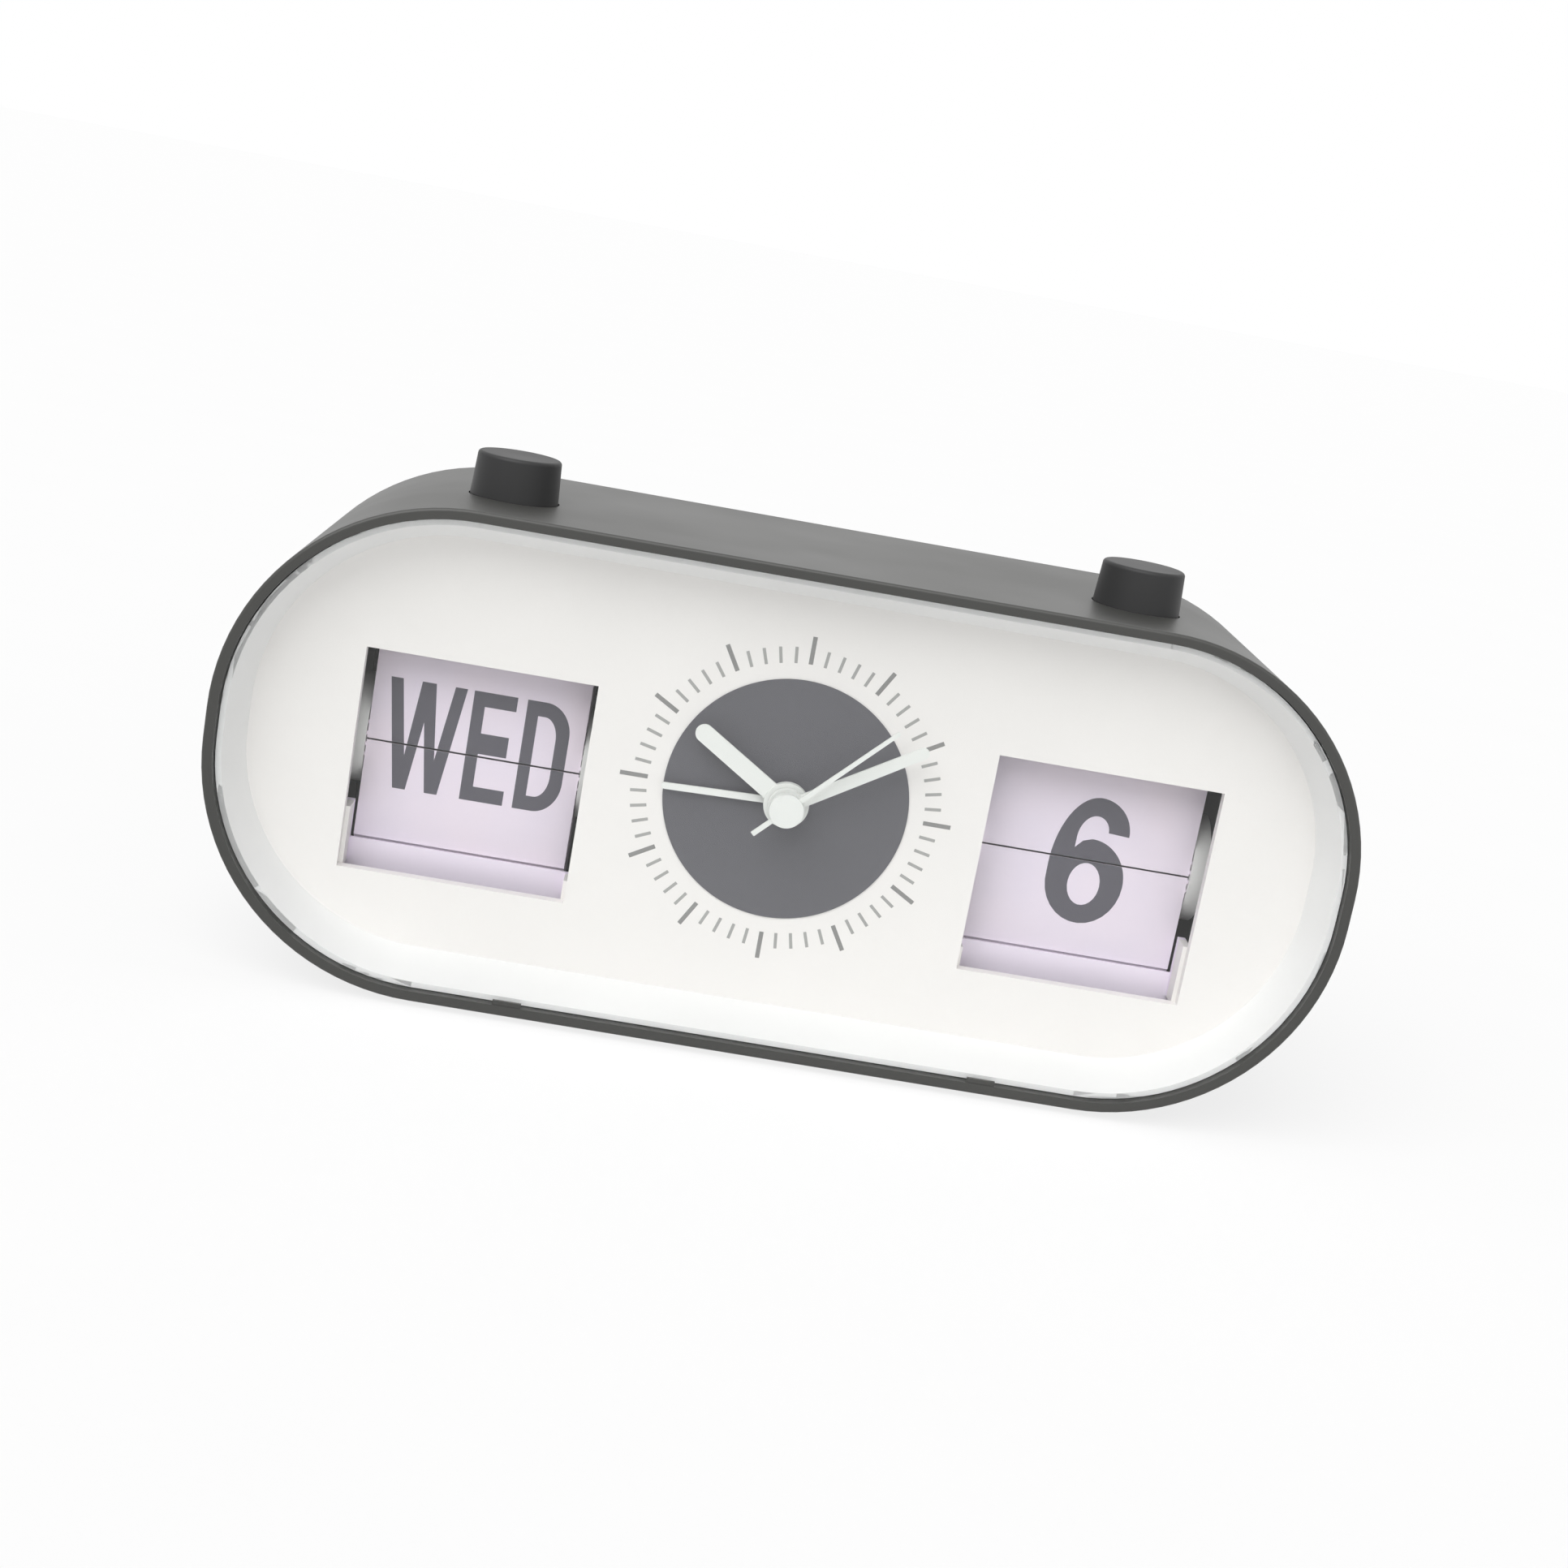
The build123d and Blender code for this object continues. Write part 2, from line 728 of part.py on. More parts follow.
def ratchet_wheel(name):
    """Wheel with one saw tooth for each flap, pushed down at its front by the pawl."""
    side = SIDES[name]
    step = pitch(name)
    tip = ratchet_tip_radius(name)
    root = tip - ratchet_tooth_depth
    points = []
    for number in range(FLAP_COUNTS[name]):
        edge = (number + 0.5) * step
        for radius, angle in ((tip, edge - ratchet_land * step), (tip, edge), (root, edge)):
            y = drum_y - radius * cos(radians(angle))
            z = hinge_z + radius * sin(radians(angle))
            points.append((y, z))
    wheel = make_face(Polyline(*points, close=True))
    body = across(wheel, side, ratchet_inner, ratchet_outer)
    boss = Pos(drum_y, hinge_z) * Circle(drum_core_radius)
    body += across(boss, side, cheek_outer + ratchet_gap, ratchet_outer)
    bore = Pos(drum_y, hinge_z) * Circle(axle_diameter / 2 + press_clearance)
    return body - across(bore, side, cheek_outer, ratchet_outer)


def drum_axle(name):
    """Steel axle, pressed into the drum and the ratchet, turning in the frame's cheeks."""
    rod = Pos(drum_y, hinge_z) * Circle(axle_diameter / 2)
    return across(rod, SIDES[name], -cheek_outer - ratchet_gap, ratchet_outer + ratchet_gap)


def frame_screw_points(name, side):
    """X and Z of the four screws of a flip frame."""
    heights = ((upper_bar_edge(name) + top_plate_bottom) / 2, (lower_bar_top + bottom_plate_top) / 2)
    return [
        (side * (unit_offset + offset), z)
        for offset in (-frame_screw_offset, frame_screw_offset)
        for z in heights
    ]


def upper_bar_edge(name):
    """Lower edge of the frame's upper front bar, just above the upright flap's tip."""
    return pin_point(pitch(name) / 2)[1] + flap_length + 3 * side_clearance


def flip_frame(name):
    """Open box that carries the drum behind a window and guides the plunger.

    Its corners stay clear of the tube and of the cover's screw bosses.
    """
    side = SIDES[name]
    cheek = Pos((frame_front + frame_back_depth) / 2, (frame_top + frame_bottom) / 2) * Rectangle(
        frame_back_depth - frame_front, frame_top - frame_bottom
    )
    cheek -= Pos(drum_y, hinge_z) * Circle(axle_diameter / 2 + shaft_clearance)
    body = across(cheek, side, -cheek_outer, -cheek_inner)
    slot_bottom = crossbar_bottom - button_travel - side_clearance
    slot_top = crossbar_top + side_clearance
    slot_width = crossbar_width + 2 * side_clearance
    slot = Pos(button_depth, (slot_bottom + slot_top) / 2) * Rectangle(slot_width, slot_top - slot_bottom)
    body += across(cheek - slot, side, cheek_inner, cheek_outer)
    full_width = outward(side, -cheek_inner, cheek_inner)
    whole_depth = (frame_front, frame_back_depth)
    body += block(full_width, whole_depth, (top_plate_bottom, frame_top))
    body += block(full_width, whole_depth, (frame_bottom, bottom_plate_top))
    bar_depth = (frame_front, frame_front + frame_wall)
    body += block(full_width, bar_depth, (upper_bar_edge(name), top_plate_bottom))
    body += block(full_width, bar_depth, (bottom_plate_top, lower_bar_top))
    for point in frame_screw_points(name, side):
        body -= disc(point, dial_screw_diameter / 2 + seat_clearance, *bar_depth)
    guide = Cylinder(plunger_diameter / 2 + shaft_clearance, 4 * frame_wall)
    body -= Pos(side * unit_offset, button_depth, frame_top) * guide
    for point in cover_boss_points():
        body -= disc(point, cover_boss_radius + side_clearance, cover_front - cover_boss_length, cover_front)
    return body & slab(inner_outline(side_clearance), *whole_depth)


def detent_springs():
    """Leaf behind each ratchet wheel, riveted to the frame's outer cheek."""
    springs = []
    for name, side in SIDES.items():
        leaf_y = drum_y + ratchet_tip_radius(name) + detent_gap
        width = outward(side, ratchet_inner, ratchet_outer)
        foot_z = (hinge_z + detent_length - detent_foot_length, hinge_z + detent_length)
        leaf = block(width, (leaf_y, leaf_y + detent_thickness), (hinge_z - frame_wall, foot_z[1]))
        foot = block(outward(side, cheek_outer, ratchet_outer), (leaf_y - frame_wall, leaf_y), foot_z)
        springs.append(leaf + foot)
    return springs


def dial_screws():
    """Small screws that hold the frames and the movement to the back of the dial."""
    screws = []
    for name, side in SIDES.items():
        for point in frame_screw_points(name, side):
            screws.append(dial_screw(point, frame_front + frame_wall))
    for point in movement_screw_points():
        screws.append(dial_screw(point, plate_back))
    return screws


def dial_screw(point, seat):
    """Screw at a point in X and Z whose head sits at a depth."""
    shank = disc(point, dial_screw_diameter / 2, dial_back - dial_screw_bite + side_clearance, seat)
    head = disc(point, dial_screw_head_diameter / 2, seat, seat + dial_screw_head_height)
    slot = Pos(*point) * Rectangle(dial_screw_slot_length, dial_screw_slot_width)
    return shank + head - slab(slot, seat + dial_screw_head_height / 2, seat + dial_screw_head_height)


# Buttons

def push_button(name):
    """Hollow round cap with an inner flange and a socket for the plunger."""
    surface = case_height / 2
    cap = Pos(0, 0, surface + button_height / 2) * Cone(button_base_radius, button_top_radius, button_height)
    cap = fillet(cap.edges().sort_by(Axis.Z)[-1], button_edge_rounding)
    cap += Pos(0, 0, surface - button_flange_drop / 2) * Cylinder(button_base_radius, button_flange_drop)
    flange_z = flange_top - button_flange_thickness / 2
    cap += Pos(0, 0, flange_z) * Cylinder(button_flange_radius, button_flange_thickness)
    bottom = flange_top - button_flange_thickness
    cavity_radius = button_top_radius - button_wall / 2
    cavity = Cylinder(cavity_radius, button_ceiling - bottom)
    cavity -= Cylinder(plunger_diameter / 2 + plunger_boss_wall, button_ceiling - bottom)
    cavity += Cylinder(plunger_diameter / 2 + press_clearance, button_ceiling - bottom)
    cap -= Pos(0, 0, (button_ceiling + bottom) / 2) * cavity
    return Pos(SIDES[name] * unit_offset, button_depth, 0) * cap


def plunger(name):
    """Stem below the button, with a crossbar and an arm whose pawl meets the ratchet wheel."""
    side = SIDES[name]
    tip = ratchet_tip_radius(name)
    half_pitch = radians(pitch(name) / 2)
    stem_height = button_ceiling - crossbar_bottom
    stem = Pos(side * unit_offset, button_depth, crossbar_bottom + stem_height / 2) * Cylinder(
        plunger_diameter / 2, stem_height
    )
    bar_y = (button_depth - crossbar_width / 2, button_depth + crossbar_width / 2)
    bar_z = (crossbar_bottom, crossbar_top)
    body = stem + block(outward(side, -crossbar_width / 2, ratchet_outer), bar_y, bar_z)
    arm_x = outward(side, ratchet_inner, ratchet_outer)
    arm_front = dial_back + 2 * side_clearance
    pawl_z = hinge_z + tip * sin(half_pitch) + pawl_gap
    body += block(arm_x, (arm_front, bar_y[1]), bar_z)
    body += block(arm_x, (arm_front, arm_front + pawl_arm_depth), (pawl_z, crossbar_top))
    nose_y = drum_y - tip + ratchet_tooth_depth / 2
    body += block(arm_x, (arm_front, nose_y), (pawl_z, pawl_z + pawl_thickness))
    return body


def return_spring(name):
    """Space taken by the coil that lifts the button, from the frame to the cap's ceiling."""
    length = button_ceiling - frame_top
    ring = Cylinder(spring_outer_radius, length) - Cylinder(spring_inner_radius, length)
    return Pos(SIDES[name] * unit_offset, button_depth, frame_top + length / 2) * ring


# Gears and the movement

def gear_face(teeth, module, tooth_angle, bore_radius=0):
    """Gear outline about the origin, with one tooth at an angle in degrees."""
    pitch_radius = teeth * module / 2
    root = (pitch_radius - tooth_root_depth * module, tooth_root_width)
    flank = (pitch_radius, tooth_pitch_width)
    tip = (pitch_radius + tooth_tip_height * module, tooth_tip_width)
    quarter = 90 / teeth
    points = []
    for number in range(teeth):
        middle = tooth_angle + number * 360 / teeth
        for radius, half in (root, flank, tip):
            points.append(step_from((0, 0), radius, middle - half * quarter))
        for radius, half in (tip, flank, root):
            points.append(step_from((0, 0), radius, middle + half * quarter))
    face = make_face(Polyline(*points, close=True))
    if bore_radius:
        face -= Circle(bore_radius)
    return face


def gear(point, teeth, module, tooth_angle, front, back, bore_radius=0):
    """Gear about an axle at a point in X and Z, between two depths."""
    return slab(Pos(*point) * gear_face(teeth, module, tooth_angle, bore_radius), front, back)


def facing_gap(angle, teeth):
    """Tooth angle that puts a gap where a neighbour's tooth, seen at an angle, comes in."""
    return angle + 180 + 180 / teeth


def arbor(point, radius):
    """Thin axle between the movement's plates."""
    return disc(point, radius, arbor_front, arbor_back)


def movement_screw_points():
    """Places of the movement's four corner screws."""
    x = movement_half_width - movement_screw_inset
    low = dial_center_z - movement_below + movement_screw_inset
    high = dial_center_z + movement_above - movement_screw_inset
    return [(sx * x, z) for sx in (-1, 1) for z in (low, high)]


def movement_outline(inset):
    """Rectangle of the movement, drawn in by an inset."""
    height = movement_below + movement_above
    middle = dial_center_z + (movement_above - movement_below) / 2
    return Pos(0, middle) * Rectangle(2 * (movement_half_width - inset), height - 2 * inset)


def movement_front_plate():
    """Front plate with the collar that passes through the dial."""
    body = slab(movement_outline(0), plate_front, plate_back)
    collar_front = dial_depth - center_disc_thickness - side_clearance
    body += disc(center_axis, collar_radius, collar_front, plate_front)
    body -= disc(center_axis, collar_bore_radius, collar_front, plate_back)
    for point, diameter in zip(ARBOR_AXES, ARBOR_DIAMETERS):
        body -= disc(point, diameter / 2 + shaft_clearance, plate_front, plate_back)
    for point in KNOB_AXES:
        body -= disc(point, knob_pivot_diameter / 2 + shaft_clearance, plate_front, plate_back)
    for point in movement_screw_points():
        body -= disc(point, dial_screw_diameter / 2 + seat_clearance, plate_front, plate_back)
    return body


def movement_housing():
    """Cup behind the gears, with a bearing for each arbor in its back."""
    body = slab(movement_outline(0) - movement_outline(movement_wall), plate_back, housing_inner)
    body += slab(movement_outline(0), housing_inner, housing_back)
    for point, diameter in zip(ARBOR_AXES, ARBOR_DIAMETERS):
        body -= disc(point, diameter / 2 + shaft_clearance, housing_inner, housing_back)
    body -= disc(center_axis, arbor_diameter / 2 + shaft_clearance, housing_inner, housing_back)
    for point in KNOB_AXES:
        body -= disc(point, knob_shaft_diameter / 2 + shaft_clearance, housing_inner, housing_back)
    return body


def alarm_wheel():
    """Wheel and outer tube that carry the alarm hand."""
    front = layer(1)
    tube = Circle(alarm_tube_radius) - Circle(hour_tube_radius + shaft_clearance)
    wheel = gear(center_axis, alarm_wheel_teeth, setting_module, alarm_knob_angle,
                 front, front + gear_thickness, hour_tube_radius + shaft_clearance)
    return wheel + slab(Pos(*center_axis) * tube, alarm_hand_front(), front)


def hour_wheel():
    """Wheel and tube that carry the hour hand."""
    front = layer(2)
    bore = minute_tube_radius + shaft_clearance
    tube = Circle(hour_tube_radius) - Circle(bore)
    wheel = gear(center_axis, hour_wheel_teeth, hour_module, minute_axis_angle,
                 front, front + gear_thickness, bore)
    return wheel + slab(Pos(*center_axis) * tube, hand_front(1), front)


def cannon_pinion():
    """Pinion and tube that carry the minute hand."""
    front = layer(3)
    bore = second_arbor_radius + shaft_clearance
    tube = Circle(minute_tube_radius) - Circle(bore)
    pinion = gear(center_axis, cannon_teeth, setting_module, minute_axis_angle,
                  front, front + gear_thickness, bore)
    tube_back = layer(4) + gear_thickness
    return pinion + slab(Pos(*center_axis) * tube, hand_front(2), tube_back)


def minute_wheel():
    """Wheel and pinion on one arbor, between the minute and hour tubes."""
    pinion_angle = facing_gap(minute_axis_angle, minute_pinion_teeth)
    wheel_angle = facing_gap(minute_axis_angle, minute_wheel_teeth)
    body = arbor(minute_axis, minute_arbor_diameter / 2)
    body += gear(minute_axis, minute_pinion_teeth, hour_module, pinion_angle, layer(2), layer(3))
    body += gear(minute_axis, minute_wheel_teeth, setting_module, wheel_angle,
                 layer(3), layer(3) + gear_thickness)
    return body


def tooth_nearest(own_angle, teeth, toward):
    """Angle of the tooth of a wheel that lies nearest a direction."""
    step = 360 / teeth
    return own_angle + round((toward - own_angle) / step) * step


def time_set_arbor():
    """Shaft of the time knob, with the pinion that turns the minute wheel."""
    wheel_angle = facing_gap(minute_axis_angle, minute_wheel_teeth)
    wheel_tooth = tooth_nearest(wheel_angle, minute_wheel_teeth, time_knob_angle)
    lead = (wheel_tooth - time_knob_angle) * minute_wheel_teeth / time_pinion_teeth
    angle = facing_gap(time_knob_angle, time_pinion_teeth) - lead
    body = knob_shaft(time_axis)
    body += gear(time_axis, time_pinion_teeth, setting_module, angle, layer(3), layer(3) + gear_thickness)
    return body


def alarm_set_arbor():
    """Shaft of the alarm knob, with the pinion that turns the alarm wheel."""
    angle = facing_gap(alarm_knob_angle, alarm_pinion_teeth)
    body = knob_shaft(alarm_axis)
    body += gear(alarm_axis, alarm_pinion_teeth, setting_module, angle, layer(1), layer(1) + gear_thickness)
    return body


def knob_shaft(point):
    """Shaft from a pivot in the front plate to inside the knob."""
    body = disc(point, knob_pivot_diameter / 2, arbor_front, plate_back + side_clearance / 2)
    knob_middle = case_depth + knob_reach / 2
    return body + disc(point, knob_shaft_diameter / 2, plate_back + side_clearance / 2, knob_middle)


def centre_wheel():
    """Wheel that slips on the minute tube when the hands are set."""
    return gear(center_axis, centre_wheel_teeth, centre_module, third_axis_angle,
                layer(4), layer(4) + gear_thickness, minute_tube_radius + shaft_clearance)


def third_wheel():
    """Wheel and pinion between the second and centre wheels."""
    body = arbor(third_axis, arbor_diameter / 2)
    pinion_angle = facing_gap(third_axis_angle, third_pinion_teeth)
    wheel_angle = facing_gap(third_axis_angle, third_wheel_teeth)
    body += gear(third_axis, third_pinion_teeth, centre_module, pinion_angle, layer(4), layer(5))
    body += gear(third_axis, third_wheel_teeth, train_module, wheel_angle, layer(5), layer(5) + gear_thickness)
    return body


def second_wheel():
    """Arbor through the whole centre, with the second wheel and its pinion."""
    body = disc(center_axis, second_arbor_radius, hand_front(3), arbor_back)
    body += gear(center_axis, second_pinion_teeth, train_module, third_axis_angle, layer(5), layer(6))
    body += gear(center_axis, second_wheel_teeth, train_module, intermediate_axis_angle,
                 layer(6), layer(6) + gear_thickness)
    return body


def intermediate_wheel():
    """Wheel and pinion between the rotor and the second wheel."""
    body = arbor(intermediate_axis, arbor_diameter / 2)
    pinion_angle = facing_gap(intermediate_axis_angle, intermediate_pinion_teeth)
    body += gear(intermediate_axis, intermediate_pinion_teeth, train_module, pinion_angle, layer(6), layer(7))
    body += gear(intermediate_axis, intermediate_wheel_teeth, train_module, rotor_axis_angle,
                 layer(7), layer(7) + gear_thickness)
    return body


def motor_rotor():
    """Magnet of the step motor on its arbor, with the first pinion."""
    body = arbor(rotor_axis, arbor_diameter / 2)
    angle = facing_gap(rotor_axis_angle, rotor_pinion_teeth)
    body += gear(rotor_axis, rotor_pinion_teeth, train_module, angle, layer(7), layer(7) + gear_thickness)
    body += disc(rotor_axis, rotor_diameter / 2, layer(8), layer(8) + rotor_thickness)
    return body


# The step motor's coil stands upright to the right of the rotor
stator_front = layer(8) + (rotor_thickness - stator_thickness) / 2
coil_x = rotor_axis[0] + coil_offset
coil_y = stator_front - core_thickness / 2


def motor_stator():
    """Plate round the rotor, with arms to the coil, and the coil's core that lies on them."""
    half = coil_length / 2 + core_width + 2 * side_clearance
    left = rotor_axis[0] - stator_reach
    right = coil_x + core_width / 2
    width = right - left
    plate = Pos((left + right) / 2, rotor_axis[1]) * Rectangle(width, 2 * half)
    gap_left = rotor_axis[0] + stator_reach
    gap_width = right - gap_left
    gap_height = 2 * (half - core_width)
    plate -= Pos(gap_left + gap_width / 2, rotor_axis[1]) * Rectangle(gap_width, gap_height)
    plate -= Pos(*rotor_axis) * Circle(rotor_diameter / 2 + rotor_gap)
    plate_solid = slab(plate, stator_front, stator_front + stator_thickness)
    core = block(
        (coil_x - core_width / 2, coil_x + core_width / 2),
        (stator_front - core_thickness, stator_front),
        (rotor_axis[1] - half, rotor_axis[1] + half),
    )
    return plate_solid + core


def motor_coil():
    """Winding with two end flanges, pierced by the core."""
    winding = Cylinder(coil_radius, coil_length)
    flange = Cylinder(coil_radius + coil_flange_reach, coil_flange_thickness)
    for end in (-1, 1):
        winding += Pos(0, 0, end * (coil_length - coil_flange_thickness) / 2) * flange
    winding -= Box(core_width + 2 * press_clearance, core_thickness + 2 * press_clearance, 2 * coil_length)
    return Pos(coil_x, coil_y, rotor_axis[1]) * winding


def circuit_board():
    """Board with its chip, against the back of the housing and left of the gears."""
    front = housing_inner - board_thickness
    body = block((board_left, board_right), (front, housing_inner), (board_bottom, board_top))
    middle = ((board_left + board_right) / 2, (board_bottom + board_top) / 2)
    return body + disc(middle, chip_radius, front - chip_height, front)


def quartz_crystal():
    """Small round can that lies on the board."""
    x = (board_left + board_right) / 2
    y = housing_inner - board_thickness - crystal_diameter / 2
    z = board_top - 2 * crystal_diameter
    can = Plane.YZ * Cylinder(crystal_diameter / 2, crystal_length)
    return Pos(x, y, z) * can


# Hands and knobs

def hand_front(number):
    """Front depth of a hand's boss, counted forward from the alarm hand as number 0."""
    return alarm_hand_front() - number * hand_step


def alarm_hand_front():
    """Front depth of the alarm hand's boss."""
    collar_front = dial_depth - center_disc_thickness - side_clearance
    return collar_front - side_clearance - hand_boss_height


def hand(length, width, tip_width, boss_diameter, bore_radius, number, clock_angle, tail=0):
    """Hand on its boss, turned clockwise from twelve by an angle in degrees."""
    front = hand_front(number)
    back = front + hand_boss_height
    tip = length - tip_width / 2
    blade_points = [(-width / 2, -tail), (-tip_width / 2, tip), (tip_width / 2, tip), (width / 2, -tail)]
    blade = make_face(Polyline(*blade_points, close=True)) + Pos(0, tip) * Circle(tip_width / 2)
    boss = Circle(boss_diameter / 2)
    if bore_radius:
        blade -= Circle(bore_radius)
        boss -= Circle(bore_radius)
    turn = Pos(*center_axis) * Rot(0, 0, -clock_angle)
    middle = (front + back) / 2
    blade_solid = slab(turn * blade, middle - hand_thickness / 2, middle + hand_thickness / 2)
    return blade_solid + slab(turn * boss, front, back)


def hour_hand():
    """Thick hand with a round end."""
    angle = shown_minutes / 720 * 360 - hour_hand_lag
    return hand(hour_hand_length, hour_hand_width, hour_hand_tip_width,
                hour_boss_diameter, hour_tube_radius + press_clearance, 1, angle)


def minute_hand():
    """Long hand that narrows a little."""
    angle = shown_minutes % 60 * 6
    return hand(minute_hand_length, minute_hand_width, minute_hand_tip_width,
                minute_boss_diameter, minute_tube_radius + press_clearance, 2, angle)


def second_hand():
    """Thin hand with a short tail, closed at the front over its arbor."""
    angle = shown_seconds * 6
    body = hand(second_hand_length, second_hand_width, second_hand_tip_width,
                second_boss_diameter, 0, 3, angle, tail=second_hand_tail)
    front = hand_front(3)
    body = Pos(0, -hand_boss_height / 2, 0) * body
    socket = disc(center_axis, second_arbor_radius + press_clearance, front - press_clearance, front + hand_step)
    return body - socket


def alarm_hand():
    """Short narrow hand behind the others."""
    angle = alarm_hour * 30
    return hand(alarm_hand_length, alarm_hand_width, alarm_hand_tip_width,
                alarm_boss_diameter, alarm_tube_radius + press_clearance, 0, angle)


def knob(point):
    """Fluted knob on its shaft behind the cover."""
    front = cover_back + knob_cover_gap
    back = case_depth + knob_reach
    face = Circle(knob_diameter / 2)
    for number in range(knob_flutes):
        place = step_from((0, 0), knob_diameter / 2, number * 360 / knob_flutes)
        face -= Pos(*place) * Circle(knob_flute_radius)
    body = slab(Pos(*point) * face, front, back)
    socket_depth = case_depth + knob_reach / 2 + press_clearance
    return body - disc(point, knob_shaft_diameter / 2 + press_clearance, front, socket_depth)


def write(name, shape):
    """Move a sub-part to the clock's frame and write its STEP file."""
    solids = shape if isinstance(shape, list) else [shape]
    place = Pos(0, front_y, middle_z)
    placed = [place * solid for solid in solids]
    whole = placed[0] if len(placed) == 1 else Compound(children=placed)
    export_step(whole, f"parts/{name}.step")


def write_flip_unit(name):
    """Write the sub-parts of the day unit or the date unit."""
    write(f"{name}_flip_frame", flip_frame(name))
    write(f"{name}_drum", flip_drum(name))
    write(f"{name}_ratchet_wheel", ratchet_wheel(name))
    write(f"{name}_drum_axle", drum_axle(name))
    write(f"{name}_flap_stack", flap_stack(name))
    write(f"{name}_flap_upper", falling_flap(name))
    write(f"{name}_flap_lower", lower_flap(name))
    write(f"{name}_button", push_button(name))
    write(f"{name}_plunger", plunger(name))
    write(f"{name}_return_spring", return_spring(name))


def main():
    os.makedirs("parts", exist_ok=True)
    write("case_shell", case_shell())
    write("front_lens", front_lens())
    write("front_bezel", front_bezel())
    write("dial_plate", dial_plate())
    write("dial_center_disc", dial_center_disc())
    write("dial_screws", dial_screws())
    write("rear_cover", rear_cover())
    write("cover_screws", cover_screws())
    write("rubber_feet", rubber_feet())
    write("battery_door", battery_door())
    write("battery", battery())
    write("battery_contacts", battery_contacts())
    write("buzzer", buzzer())
    write("alarm_switch_slider", alarm_switch_slider())
    write("detent_springs", detent_springs())
    for name in SIDES:
        write_flip_unit(name)
    write("movement_front_plate", movement_front_plate())
    write("movement_housing", movement_housing())
    write("circuit_board", circuit_board())
    write("quartz_crystal", quartz_crystal())
    write("motor_stator", motor_stator())
    write("motor_coil", motor_coil())
    write("motor_rotor", motor_rotor())
    write("intermediate_wheel", intermediate_wheel())
    write("second_wheel", second_wheel())
    write("third_wheel", third_wheel())
    write("centre_wheel", centre_wheel())
    write("cannon_pinion", cannon_pinion())
    write("minute_wheel", minute_wheel())
    write("hour_wheel", hour_wheel())
    write("alarm_wheel", alarm_wheel())
    write("time_set_arbor", time_set_arbor())
    write("alarm_set_arbor", alarm_set_arbor())
    write("time_set_knob", knob(time_axis))
    write("alarm_set_knob", knob(alarm_axis))
    write("hour_hand", hour_hand())
    write("minute_hand", minute_hand())
    write("second_hand", second_hand())
    write("alarm_hand", alarm_hand())


main()
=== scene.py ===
import bmesh
import bpy
import json
import math
from mathutils import Matrix, Vector
from mathutils.geometry import tessellate_polygon


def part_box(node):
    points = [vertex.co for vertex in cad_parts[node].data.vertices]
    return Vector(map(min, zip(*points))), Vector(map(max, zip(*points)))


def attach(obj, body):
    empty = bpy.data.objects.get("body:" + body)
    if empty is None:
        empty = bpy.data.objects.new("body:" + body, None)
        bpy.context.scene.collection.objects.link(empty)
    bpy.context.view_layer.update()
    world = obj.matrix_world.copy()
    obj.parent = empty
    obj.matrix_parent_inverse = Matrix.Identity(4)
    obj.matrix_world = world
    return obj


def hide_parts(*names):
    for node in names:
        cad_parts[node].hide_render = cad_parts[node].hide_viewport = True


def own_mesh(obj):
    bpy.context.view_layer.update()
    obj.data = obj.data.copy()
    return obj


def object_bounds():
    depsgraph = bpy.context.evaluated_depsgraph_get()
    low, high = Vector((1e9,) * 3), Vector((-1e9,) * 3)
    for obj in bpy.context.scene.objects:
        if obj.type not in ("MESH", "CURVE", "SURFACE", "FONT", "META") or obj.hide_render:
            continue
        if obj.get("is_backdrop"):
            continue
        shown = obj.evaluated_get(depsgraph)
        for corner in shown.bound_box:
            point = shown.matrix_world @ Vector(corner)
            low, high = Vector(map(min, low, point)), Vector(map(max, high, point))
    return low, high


# Looks for the day, date and alarm clock: materials, springs, printed marks,
# floor, light and camera. Lengths are in millimetres, except in names that end
# in _m and in the corners and centres of boxes, which are in metres.

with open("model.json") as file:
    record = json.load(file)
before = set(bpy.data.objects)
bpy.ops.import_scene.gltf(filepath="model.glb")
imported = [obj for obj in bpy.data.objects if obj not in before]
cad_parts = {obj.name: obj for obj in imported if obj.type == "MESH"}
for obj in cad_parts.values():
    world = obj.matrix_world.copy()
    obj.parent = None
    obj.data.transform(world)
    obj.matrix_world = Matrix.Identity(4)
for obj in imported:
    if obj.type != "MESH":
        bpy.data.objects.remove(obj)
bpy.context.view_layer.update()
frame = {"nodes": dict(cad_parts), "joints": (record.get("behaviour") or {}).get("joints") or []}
nodes = frame["nodes"]
joints = {joint["name"]: joint for joint in frame["joints"]}
MM = 0.001


# Materials

speck_share = 0.25
smoother = 0.92
rougher = 1.1


def new_material(name):
    """Node material with a Principled shader, and the place on the object for its textures."""
    made = bpy.data.materials.new(name)
    made.use_nodes = True
    tree = made.node_tree
    shader = tree.nodes["Principled BSDF"]
    place = tree.nodes.new("ShaderNodeTexCoord")
    return made, tree, shader, place.outputs["Object"]


def noise(tree, place, size, detail=3.0, stretch=(1, 1, 1)):
    """Noise value whose lumps are about one size across, stretched along the axes."""
    mapping = tree.nodes.new("ShaderNodeMapping")
    mapping.inputs["Scale"].default_value = [1 / (size * MM * s) for s in stretch]
    tree.links.new(place, mapping.inputs["Vector"])
    texture = tree.nodes.new("ShaderNodeTexNoise")
    texture.inputs["Scale"].default_value = 1.0
    texture.inputs["Detail"].default_value = detail
    tree.links.new(mapping.outputs["Vector"], texture.inputs["Vector"])
    return texture.outputs["Fac"]


